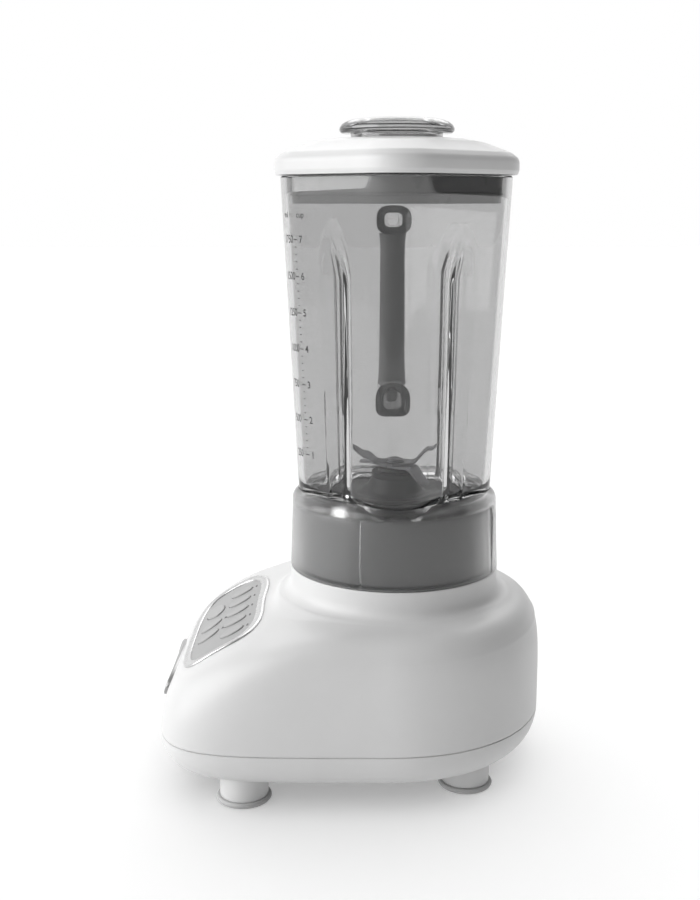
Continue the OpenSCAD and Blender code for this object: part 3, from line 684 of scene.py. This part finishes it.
def thick_sheet(flat, faces, bend, top, bottom):
    """A closed sheet from flat triangles: bend(x, s, h) places a point."""
    n = len(flat)
    verts = np.concatenate([bend(flat[:, 0], flat[:, 1], top), bend(flat[:, 0], flat[:, 1], bottom)])
    count = {}
    for f in faces:
        for i in range(3):
            e = (f[i], f[(i + 1) % 3])
            count[e] = count.get(e, 0) + 1
    walls = [(a, b, b + n, a + n) for a, b in count if (b, a) not in count]
    quads = [tuple(f) for f in faces] + [tuple(int(i) + n for i in reversed(f)) for f in faces]
    return verts, quads + [tuple(int(i) for i in w) for w in walls]


def build_panel():
    holes = [oval_outline(at, KEY_GAP) for at in KEY_PLACES.values()] + [leaf_outline(KEY_GAP)]
    holes += [dash_outline(at) for at in KEY_PLACES.values()]
    flat, faces = pierced_plate(panel_outline(BEZEL_W - 0.1), holes, 4)
    sheet = thick_sheet(flat, faces, panel_world, 0.0, -3.0)
    plate = make("panel_plate_sheet", sheet, PANEL, "base", ["panel_plate"])
    bevel(plate, 0.12)
    lenses = [key_solid(dash_outline(at, -0.03), -2.5, 0.25, 0.2) for at in KEY_PLACES.values()]
    make("indicator_lens_row", join(*lenses), LENS, "base", ["indicator_lenses"])
    outlines = {name: oval_outline(at) for name, at in KEY_PLACES.items()}
    outlines["power_key"] = leaf_outline()
    for name, outline in outlines.items():
        cap = key_solid(outline, KEY_FOOT, KEY_PROUD, KEY_EDGE)
        make(f"{name}_cap", cap, KEY, name, [name])


def key_solid(outline, foot, top, edge):
    """A key: straight sides, a rounded edge and a slightly dished face."""
    middle = outline.mean(0)
    reach = np.linalg.norm(outline - middle, axis=1).mean()
    rings = [panel_world(outline[:, 0], outline[:, 1], foot)]
    for t in np.linspace(0, math.pi / 2, 5):
        ring = middle + (outline - middle) * (1 - edge * (1 - math.cos(t)) / reach)
        rings.append(panel_world(ring[:, 0], ring[:, 1], top - edge + edge * math.sin(t)))
    inner = 1 - edge / reach
    for t in (0.85, 0.6, 0.3, 0.02):
        ring = middle + (outline - middle) * inner * t
        rings.append(panel_world(ring[:, 0], ring[:, 1], top - 0.25 * edge * (1 - t ** 2)))
    return loft(rings)


def build_badge():
    """Plain oval plate on the front, curved with the housing."""
    axis_y, axis_z, radius = -103, 42, 48.8
    half, mid_z = (40, 12.5), 58
    a = circle(96)

    def place(scale, height):
        x, z = half[0] * scale * np.cos(a), mid_z + half[1] * scale * np.sin(a)
        r = radius + height
        return np.stack([x, axis_y - np.sqrt(r ** 2 - (z - axis_z) ** 2), z], 1)

    steps = [(0.99, -3), (0.99, 0.2), (0.985, 0.5), (0.965, 0.75), (0.93, 0.85), (0.9, 0.7), (0.885, 0.45),
             (0.87, 0.4), (0.6, 0.4), (0.3, 0.4), (0.02, 0.4)]
    shape = loft([place(s, h) for s, h in steps])
    make("front_badge_plate", shape, BADGE, "base", ["front_badge"], sharp=50)


# ---- Jar ----

def jar_reach(z):
    return FOOT_REACH + (MOUTH_REACH - FOOT_REACH) * (z - JAR_FOOT) / (MOUTH_Z - JAR_FOOT)


def square_ring(reach, corner, z, flute=None):
    """Rounded square with its corners on the axes. flute(t) is how far a flat is drawn in at t from its
    middle, where its points lie closer together."""
    corner_steps, flat_steps, evenness = 16, 52, 0.36
    points = []
    side = (reach - corner) * math.sqrt(2)
    edge = np.linspace(-1, 1, flat_steps + 2)[1:-1]
    flat_at = (evenness * edge + (1 - evenness) * edge ** 3) * side / 2
    for k in range(4):
        turn = math.pi / 2 * k
        centre = (reach - corner) * np.array([math.cos(turn), math.sin(turn)])
        a = turn + np.linspace(-math.pi / 4, math.pi / 4, corner_steps)
        points.append(centre + corner * np.stack([np.cos(a), np.sin(a)], 1))
        n = np.array([math.cos(turn + math.pi / 4), math.sin(turn + math.pi / 4)])
        along = np.array([-n[1], n[0]])
        off = (reach - corner) / math.sqrt(2) + corner
        drawn = flute(flat_at) if flute else np.zeros_like(flat_at)
        points.append(n * (off - drawn)[:, None] + along * flat_at[:, None])
    plan = np.concatenate(points)
    return np.column_stack([plan, np.full(len(plan), float(z))])


def flute_depth(t, z, inset):
    """Depth of the groove in a flat, at t from its middle, in the skin that lies inset from the outer one."""
    r = FLUTE_R + FLUTE_WIDEN * np.clip((z - FLUTE_FOOT) / FLUTE_RUN, 0, 1) + inset
    leant = max(0.0, z - FLUTE_BEND) * math.tan(FLUTE_LEAN)
    raw = np.sqrt(np.maximum(r ** 2 - t ** 2, 0)) - (r - FLUTE_DEPTH) - np.maximum(abs(t) - r, 0) - leant
    edge_blend = 1.0 + 0.8 * inset
    return smooth_max(raw, np.zeros_like(raw), edge_blend)


def jar_ring(z, inset=0.0, at=None, fluted=1.0):
    """Ring of the jar's wall at z, drawn in by inset. at puts it at another height."""
    return square_ring(jar_reach(z) - inset, JAR_CORNER - inset, z if at is None else at,
                       lambda t: fluted * flute_depth(t, z, inset))


def build_jar():
    """Clear jar with its neck, fluted walls, rim, floor and handle arms."""
    rim = [(0.6, 0.0), (0.9, 0.5), (JAR_WALL - 0.9, 0.5), (JAR_WALL - 0.6, 0.0)]
    fillet = 9.0
    walls = np.concatenate([np.linspace(JAR_FOOT + 3, 304, 16), np.linspace(307, 353, 32),
                            np.linspace(357, MOUTH_Z - 0.8, 6)])
    rings = [circle_ring_like(HOLE_R, NECK_Z), circle_ring_like(NECK_R - 0.6, NECK_Z),
             circle_ring_like(NECK_R, NECK_Z + 0.6), circle_ring_like(NECK_R, JAR_FOOT - 1.5)]
    rings.append(jar_ring(JAR_FOOT, 2.2, JAR_FOOT - 0.3))
    rings.append(jar_ring(JAR_FOOT + 1, 0.6, JAR_FOOT + 0.4))
    rings += [jar_ring(z) for z in walls]
    rings += [jar_ring(MOUTH_Z, inset * 0.9, MOUTH_Z - 0.5 + up) for inset, up in rim]
    rings += [jar_ring(z, JAR_WALL) for z in walls[:4:-1]]
    for t in np.linspace(0, math.pi / 2, 9):
        z = FLOOR_Z + fillet * (1 - math.sin(t))
        rings.append(jar_ring(FLOOR_Z + fillet, JAR_WALL + fillet * (1 - math.cos(t)) * 0.75, z,
                              1 - 0.25 * (1 - math.cos(t))))
    rings.append(circle_ring_like(HOLE_R + 0.6, FLOOR_Z))
    rings.append(circle_ring_like(HOLE_R, FLOOR_Z - 0.6))
    jar = make("jar_body", loft(rings, loop=True), CLEAR_JAR, sharp=50)
    combine(jar, make("arms", join(*handle_arms()), None), "UNION")
    combine(jar, make("arm_holes", join(*arm_holes()), None), "DIFFERENCE")
    use_only(jar.data, CLEAR_JAR)
    settle(jar, "jar_assembly", ["jar"])


def circle_ring_like(r, z):
    """Circle whose points lie in the same directions as the jar's rings."""
    ring = square_ring(MOUTH_REACH, JAR_CORNER, z)
    return polar(r, np.arctan2(ring[:, 1], ring[:, 0]), z)


def bar_ring(x, half_w, rise, fall, power, z):
    """Rounded outline across X, rise above z and fall below it, with its own power on each side."""
    count = 48
    a = circle(count)
    above = np.sin(a) > 0
    p = np.where(above, power[0], power[1])
    return np.stack([np.full(count, float(x)), half_w * spow(np.cos(a), 2 / p),
                     z + np.where(above, rise, fall) * spow(np.sin(a), 2 / p)], 1)


def arm_height(x, which):
    """Height of an arm's middle at x. The lower arm leans down towards the grip."""
    if which == 0:
        return ARM_MID[0]
    return ARM_MID[1] - ARM_DROP + ARM_LEAN * max(0.0, x - RING_X)


def arm_section(x, which, inset=0.0):
    """Outline of the upper arm (0), which is even, or of the lower arm (1), which is domed."""
    rise, fall, power = ARM_OUTLINES[which]
    return bar_ring(x, ARM_HALF_W - inset, rise - inset, fall - inset, power, arm_height(x, which))


def arm_bore(x, which, k=1.0):
    """Outline of the hole in an arm, k times its full size."""
    rise, fall, power = BORE_OUTLINES[which]
    return bar_ring(x, BORE_HALF_W * k, rise * k, fall * k, power, arm_height(x, which))


def handle_arms():
    """Two clear arms that run from the jar to the grip's rings."""
    return [loft([arm_section(x, which) for x in (2.6 - jar_reach(ARM_MID[which]), -90, RING_X)])
            for which in (0, 1)]


def arm_holes():
    holes = []
    for which in (0, 1):
        foot = jar_reach(ARM_MID[which])
        line = [(-HANDLE_REACH - 2, 1.0), (-foot - 8, 0.95), (-foot - 5, 0.85)]
        holes.append(loft([arm_bore(x, which, k) for x, k in line]))
    return holes


def build_grip():
    """Grey grip: a strip that flares into a ring round the end of each arm, and a plug in the lower arm."""
    count = 64
    a = circle(count)
    mid_x = (low("handle_grip")[0] + high("handle_grip")[0]) / 2
    half_x = (high("handle_grip")[0] - low("handle_grip")[0]) / 2
    length = GRIP_TOP - GRIP_FOOT
    rings = []
    for t in np.linspace(0, 1, 61):
        z = GRIP_FOOT - 6 + (length + 5.95) * t
        wide = 14.0 - 1.2 * t + 1.4 * math.exp(-t * length / 9) + 2.2 * math.exp(-(1 - t) * length / 4)
        rings.append(np.stack([mid_x + half_x * spow(np.cos(a), 0.92), wide * spow(np.sin(a), 0.92),
                               np.full(count, z)], 1))
    parts = [loft(rings)]
    for which in (0, 1):
        rings = [arm_section(-HANDLE_REACH, which, 1.6), arm_section(-HANDLE_REACH + 0.5, which, 0.6),
                 arm_section(-HANDLE_REACH + 1.5, which), arm_section(RING_X - 0.05, which),
                 arm_bore(RING_X - 0.05, which), arm_bore(-HANDLE_REACH + 0.6, which),
                 arm_bore(-HANDLE_REACH, which, 1.06)]
        parts.append(loft(rings, loop=True))
    plug = ((-121, 0.9), (-120, 0.985), (-115, 0.985), (-114.4, 0.9))
    parts.append(loft([arm_bore(x, 1, k) for x, k in plug]))
    make("handle_grip_sleeve", join(*parts), GRIP, "jar_assembly", ["handle_grip"], sharp=50)


def build_collar():
    """Frosted skirt that turns in under the jar, with four upright ribs."""
    foot_z, turn_r = SEAT_Z + 0.05, 7
    outer = rounded([(COLLAR_R - 3.2, foot_z), (COLLAR_R, foot_z, 0.5), (67.1, 174)], steps=4, closed=False)
    quarter = np.linspace(0, math.pi / 2, 14)[1:]
    arc = [(60.1 + turn_r * math.cos(t), 177 + turn_r * math.sin(t)) for t in quarter]
    inner = [(56, 184), (55, 183.4), (55, 182), (60, 179.6), (62.4, 177.2), (63.6, 174.5), (63.9, 172)]
    collar = make("collar_skirt", revolve([*outer, *arc, *inner], 192), CLEAR_COLLAR, sharp=50)
    plan = rounded([(64.5, -3.2), (68.6, -3.2, 0.7), (68.6, 3.2, 0.7), (64.5, 3.2)], steps=4)
    rises = ((SEAT_Z + 0.6, 0), (SEAT_Z + 1.4, 0.35), (170, 0.25), (176, -0.6), (178.5, -3))
    ribs = []
    for turn in np.radians(np.arange(67.5, 360, 90)):
        ribs.append(loft([turned(plan + [out, 0], z, turn) for z, out in rises]))
    combine(collar, make("ribs", join(*ribs), None), "UNION")
    outline = [jar_ring(z, -0.25) for z in (JAR_FOOT - 1, 200)]
    combine(collar, make("jar_space", loft(outline), None), "DIFFERENCE")
    use_only(collar.data, CLEAR_COLLAR)
    settle(collar, "jar_assembly", ["collar"])


def build_core():
    foot, top = low("collar_core")[2], high("collar_core")[2]
    section = rounded([(54, foot), (CORE_R, foot, 1.5), (CORE_R, top, 3), (57.3, top, 0.4), (57.3, 158.4),
                       (53, 158.4), (53, 155), (54, 155)], steps=5)
    make("collar_core_ring", revolve(section, 144), CORE, "jar_assembly", ["collar_core"])


# ---- Blade carrier and blades ----

def build_carrier():
    """Disc that closes the jar's floor, and the dark dome that holds the shaft."""
    base = low("blade_carrier")[2]
    dome_top = high("blade_carrier")[2]
    face = base + 20
    disc = [(31, base + 13), (46, base + 13), (46, base), (55.8, base), (55.8, base + 3.4),
            (49.5, base + 3.4), (49.5, face, 0.8), (36, face, 0.5), (35.4, face + 0.9, 0.5), (31, face + 0.9)]
    shape = revolve(rounded(disc, steps=6), 128)
    make("blade_carrier_disc", shape, CARRIER, "jar_assembly", ["blade_carrier"])
    dome = [(7.2, base + 3.5), (12, base + 3.5), (12, base + 13), (30.9, base + 13), (30.9, face + 1.2, 0.6),
            (24, face + 2.4, 2), (20.6, face + 4.4, 3), (17.6, face + 11, 4), (16.4, face + 13.4, 0.6),
            (16.8, face + 14.2, 0.5), (16.8, face + 16.4, 0.5), (16.0, face + 17, 0.5),
            (11.8, face + 17, 0.8), (11.6, dome_top, 0.8), (7.2, dome_top)]
    make("blade_carrier_dome", revolve(rounded(dome, steps=6), 128), DOME, "jar_assembly")


def blade_mesh(flat, thick, z, turn, wings):
    """A ground blade: broad flat middle and two bent wings, each given as its angle and length, with curved
    edges and a sharpened leading edge."""
    rings = []
    bend_r = 7.0
    for u in np.linspace(-(flat + wings[1][1]), flat + wings[0][1], 97):
        side = math.copysign(1, u)
        angle, wing = wings[0] if u > 0 else wings[1]
        arc = bend_r * abs(angle)
        far = max(abs(u) - flat, 0)
        bent = min(far, arc) / bend_r
        out = min(abs(u), flat) + bend_r * math.sin(bent) + max(far - arc, 0) * math.cos(angle)
        rise = bend_r * (1 - math.cos(bent)) + max(far - arc, 0) * math.sin(abs(angle))
        rise = math.copysign(rise, angle)
        tip = far / wing
        middle = 2.0 * (1 - smooth_step(abs(u), 0.35 * flat, flat))
        lead = 7.2 + middle - 1.2 * tip - 3.4 * tip ** 10
        trail = -7.0 - middle + 1.8 * tip + 2.6 * tip ** 8
        grind = 0.28 * (lead - trail) / 2 * smooth_step(far, 0, 5)
        edge = thick - 0.75 * thick * smooth_step(far, 0, 5)
        corners = ((trail, 0), (lead, 0), (lead, edge), (lead - grind, thick), (trail, thick))
        rings.append([(side * out, side * y, z + rise + up) for y, up in corners])
    rings = [np.array(r) for r in rings]
    return loft([turned(r, r[:, 2], turn) for r in rings])


def build_blades():
    z = low("blade_washer")[2]
    thick, gap = 1.5, 0.05
    deg = math.radians
    lower = blade_mesh(14, thick, z - 2 * thick - 2 * gap, deg(49), ((deg(-46), 16.5), (deg(-3), 12)))
    upper = blade_mesh(10.5, thick, z - thick - gap, deg(82), ((deg(44), 21), (deg(37), 19.5)))
    for name, shape in (("lower_blade", lower), ("upper_blade", upper)):
        blade = make(f"{name}_strip", shape, BLADE, "blade_assembly", [name], sharp=30)
        bevel(blade, 0.12)
    ring = rounded([(2.9, z), (7, z, 0.3), (7, z + 0.8, 0.3), (2.9, z + 0.8)], steps=3)
    make("blade_washer_ring", revolve(ring, 48), BLADE, "blade_assembly", ["blade_washer"])
    foot, top = low("cap_nut")[2], high("cap_nut")[2]
    button = rounded([(0, foot), (5.8, foot, 0.3), (5.8, foot + 0.9, 0.3), (4.6, foot + 1.0, 0.2),
                      (3.6, top, 0.5), (0, top)], steps=4, closed=False)
    shape = revolve(button, 48, loop=False)
    make("cap_nut_head", shape, BLADE, "blade_assembly", ["cap_nut"])


# ---- Lid, seal and cap ----

def lid_ring(reach, z, inset=0.0, at=None):
    """Ring of the lid: a rounded square that becomes round towards the middle."""
    squarest = 0.39
    corner = reach * (squarest + (1 - squarest) * smooth_step(reach, 60, 36))
    return square_ring(reach - inset, max(corner - inset, 2), z if at is None else at)


def build_lid():
    """White lid with a hole for the cap, and the skirt that carries the seal."""
    foot = MOUTH_Z + 0.6
    hole = 29.6
    profile = rounded([(LID_REACH - 1, foot + 0.2), (LID_REACH, 387.5, 3), (LID_REACH, 394.6, 5),
                       (71.5, 398.6, 8), (54.5, 404.8, 10), (44, 406.5, 9), (33.5, 406.8)],
                      steps=8, closed=False)
    outer = [lid_ring(LID_REACH - 1, foot, 2.6, foot + 0.05), lid_ring(LID_REACH - 1, foot, 0.5)]
    outer += [lid_ring(reach, z) for reach, z in profile]
    throat = rounded([(hole + 0.8, 407.0, 0.8), (hole, 396, 0.5), (31.8, 396), (31.8, 402.5)],
                     steps=4, closed=False)
    inner = [lid_ring(reach, z - 1.8, 2.6) for reach, z in profile[::-1] if reach > 37 and z > 387]
    rings = outer + [circle_ring_like(r, z) for r, z in throat] + inner
    shape = loft(rings, loop=True)
    make("lid_shell", shape, WHITE_LID, "lid_assembly", ["lid"], sharp=45)
    top, foot = 397.4, SEAL_FOOT + 2.6
    section = ((62.4, top), (62.4, foot), (60.2, foot), (60.2, top))
    make("lid_inner_skirt", seal_band(section), WHITE_LID, "lid_assembly")


def seal_band(section):
    """Skin of a rounded-square band that fits inside the jar's mouth."""
    corner, corner_reach = 27, 65.8
    return loft([square_ring(reach, corner - (corner_reach - reach), z) for reach, z in section], loop=True)


def build_seal():
    section = rounded([(62.8, SEAL_TOP), (62.8, SEAL_FOOT, 0.5), (65.2, SEAL_FOOT, 0.6), (65.6, 372.0, 0.2),
                       (66.7, 372.2, 0.4), (66.7, 373.6, 0.4), (65.8, 374.0, 0.2), (66.0, SEAL_TOP, 0.4)],
                      steps=3)
    make("lid_seal_band", seal_band(section), SEAL, "lid_assembly", ["lid_seal"], sharp=40)


def build_cap():
    """Smoky cap: a cup with a thick rounded flange and a shallow dished top."""
    foot, top, r = low("filler_cap")[2], CAP_TOP, CAP_R
    wide, bead, crown = 412.5, 2.4, 15
    under = [(r - bead + bead * math.cos(t), wide + bead * math.sin(t)) for t in np.linspace(-1.4, 0, 12)]
    over = [(r - crown + crown * math.cos(t) ** 0.8, wide + (top - wide) * math.sin(t))
            for t in np.linspace(0.08, 1.45, 24)]
    neck = rounded([(24.2, foot, 0.8), (26.6, foot, 0.8), (28.9, 407.6, 2), (28.9, 410.1, 0.5), under[0]],
                   steps=5, closed=False)[:-1]
    dish = rounded([over[-1], (r - 18, top - 0.1, 1), (r - 20, top - 0.9, 1), (0, top - 0.9)],
                   steps=4, closed=False)[1:]
    inside = rounded([(0, 411.6), (23, 411.6, 1.5), (25.2, 409, 1), (24.2, foot)], steps=5, closed=False)
    section = [*neck, *under, *over, *dish, *inside]
    make("filler_cap_cup", revolve(section, 128), SMOKE, "cap", ["filler_cap"], sharp=50)


# ---- Printed scale ----

def text_shape(body, size, squeeze=1.0):
    """Outline triangles of a short text, centred on its own height and starting at x = 0."""
    curve = bpy.data.curves.new("text", "FONT")
    curve.body, curve.size, curve.resolution_u, curve.offset = body, size, 3, PRINT_WEIGHT
    curve.align_x, curve.align_y = "LEFT", "CENTER"
    holder = add("text", curve)
    mesh = applied(holder)
    verts = np.array([v.co for v in mesh.vertices]) * [squeeze, 1, 1]
    faces = [tuple(p.vertices) for p in mesh.polygons]
    bpy.data.objects.remove(holder)
    bpy.data.curves.remove(curve)
    bpy.data.meshes.remove(mesh)
    return verts, faces


def on_jar(shape, start, z):
    """Lays a flat shape round the jar's front corner and on along the flat beside it. start is the distance
    round the jar from the corner's middle."""
    verts, faces = shape
    height = z + verts[:, 1]
    centre = np.array([jar_reach(h) for h in height]) - JAR_CORNER
    along = start + verts[:, 0]
    a = np.minimum(along / JAR_CORNER, math.pi / 4) - math.pi / 2
    beyond = np.maximum(along - JAR_CORNER * math.pi / 4, 0) / math.sqrt(2)
    r = JAR_CORNER + PRINT_HEIGHT
    return np.stack([r * np.cos(a) + beyond, -centre + r * np.sin(a) + beyond, height], 1), faces


def bar_shape(width, height):
    half = height / 2
    return np.array([(0, -half, 0), (width, -half, 0), (width, half, 0), (0, half, 0)]), [(0, 1, 2, 3)]


def build_scale():
    """Millilitres and cups, printed up the jar's front corner."""
    parts = [on_jar(text_shape("ml", 5), ML_UNIT_AT, UNITS_Z),
             on_jar(text_shape("cup", 5), CUP_UNIT_AT, UNITS_Z)]
    for i in range(SCALE_STEPS):
        z = SCALE_TOP - SCALE_STEP * i
        cups = SCALE_STEPS - i
        parts.append(on_jar(text_shape(str(cups * SCALE_ML), 7, 0.72), ML_AT, z))
        parts.append(on_jar(bar_shape(3.2, 0.55), LINE_AT, z))
        parts.append(on_jar(text_shape(str(cups), 6.4), CUP_AT, z))
        if cups > 1:
            for k in range(1, 5):
                parts.append(on_jar(bar_shape(1.6, 0.45), FINE_LINE_AT, z - SCALE_STEP * k / 5))
    make("scale_print", join(*parts), PRINT, "jar_assembly")


# ---- Whole object ----

build_housing()
build_cover()
build_feet()
build_bezel()
build_panel()
build_badge()
build_jar()
build_grip()
build_collar()
build_core()
build_carrier()
build_blades()
build_lid()
build_seal()
build_cap()
build_scale()

# The CAD nodes that keep their shape.
for material, nodes in (
        (RUBBER, "seat_pad motor_grommets jar_gasket shaft_seal"),
        (LAMINATION, "stator_core armature_core"),
        (COPPER, "field_coils armature_windings commutator"),
        (PLATED, "lower_bracket upper_bracket brush_springs motor_screws board_screws cover_screws"),
        (BEARING, "lower_bearing upper_bearing motor_shaft blade_shaft"),
        (HOLDER, "brush_holders"),
        (CARBON, "carbon_brushes"),
        (BOARD, "control_board"),
        (BLACK, "board_switches cord_gland cooling_fan"),
        (COUPLER, "drive_coupler jar_coupler"),
        (BRONZE, "blade_bushes")):
    for node in nodes.split():
        use_only(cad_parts[node].data, material)

# ---- Floor, light and camera ----

def build_stage():
    size, gap = 9.0, 0.0002
    mesh = bpy.data.meshes.new("floor")
    corners = [(-size, -size, 0), (size, -size, 0), (size, size, 0), (-size, size, 0)]
    mesh.from_pydata(corners, [], [(0, 1, 2, 3)])
    floor = add("floor", mesh)
    floor.location.z = -gap
    mat = principled("floor", 0.85, 0.9, Specular_IOR_Level=0.05, Emission_Color=(1, 1, 1, 1),
                     Emission_Strength=0.2)
    shade(mat, noise(mat, 3), 0.003)
    mesh.materials.append(mat)
    return floor


def sun_light(name, height, turn, spread, strength, floor, on_floor):
    """A broad far light. height is its angle above the floor and turn its angle round from +X, in degrees.
    on_floor is "EXCLUDE" to spare the floor, "INCLUDE" to light the floor alone, or None."""
    light = bpy.data.lights.new(name, "SUN")
    light.angle, light.energy = math.radians(spread), strength
    holder = add(name, light)
    height, turn = math.radians(height), math.radians(turn)
    level = math.cos(height)
    towards = Vector((level * math.cos(turn), level * math.sin(turn), math.sin(height)))
    holder.rotation_euler = (-towards).to_track_quat("-Z", "Y").to_euler()
    if on_floor:
        group = bpy.data.collections.new(f"{name}_floor")
        group.objects.link(floor)
        group.collection_objects[0].light_linking.link_state = on_floor
        holder.light_linking.receiver_collection = group


def build_world():
    """A studio that is bright behind the object and dim elsewhere. The camera itself sees plain white."""
    world = bpy.data.worlds.new("studio")
    bpy.context.scene.world = world
    world.use_nodes = True
    nodes, links = world.node_tree.nodes, world.node_tree.links
    axes = nodes.new("ShaderNodeSeparateXYZ")
    links.new(nodes.new("ShaderNodeTexCoord").outputs["Generated"], axes.inputs["Vector"])
    behind = nodes.new("ShaderNodeMapRange")
    behind.interpolation_type = "SMOOTHSTEP"
    for limit, value in (("From Min", -0.2), ("From Max", -0.8), ("To Min", 0.04), ("To Max", 1.0)):
        behind.inputs[limit].default_value = value
    links.new(axes.outputs["X"], behind.inputs["Value"])
    seen = nodes.new("ShaderNodeMath")
    seen.operation = "MAXIMUM"
    links.new(behind.outputs["Result"], seen.inputs[0])
    links.new(nodes.new("ShaderNodeLightPath").outputs["Is Camera Ray"], seen.inputs[1])
    links.new(seen.outputs["Value"], nodes["Background"].inputs["Strength"])
    nodes["Background"].inputs["Color"].default_value = (1, 1, 1, 1)


def build_camera():
    data = bpy.data.cameras.new("camera")
    data.lens = CAMERA_LENS
    data.clip_start, data.clip_end = 0.01, 100
    camera = add("camera", data)
    camera.location = (CAMERA_AT + DRIVE) * MM
    camera.rotation_euler = (math.radians(90 - CAMERA_PITCH), 0, math.radians(90))
    bpy.context.scene.camera = camera


floor = build_stage()
build_world()
sun_light("top_light", 90, 0, 120, 1.0, floor, None)
sun_light("floor_light", 90, 0, 120, 1.5, floor, "INCLUDE")
sun_light("left_key", 18, 287, 62, 3.6, floor, "EXCLUDE")
sun_light("back_light", 42, 175, 50, 0.8, floor, "EXCLUDE")
build_camera()
bpy.context.scene.view_settings.view_transform = "Standard"
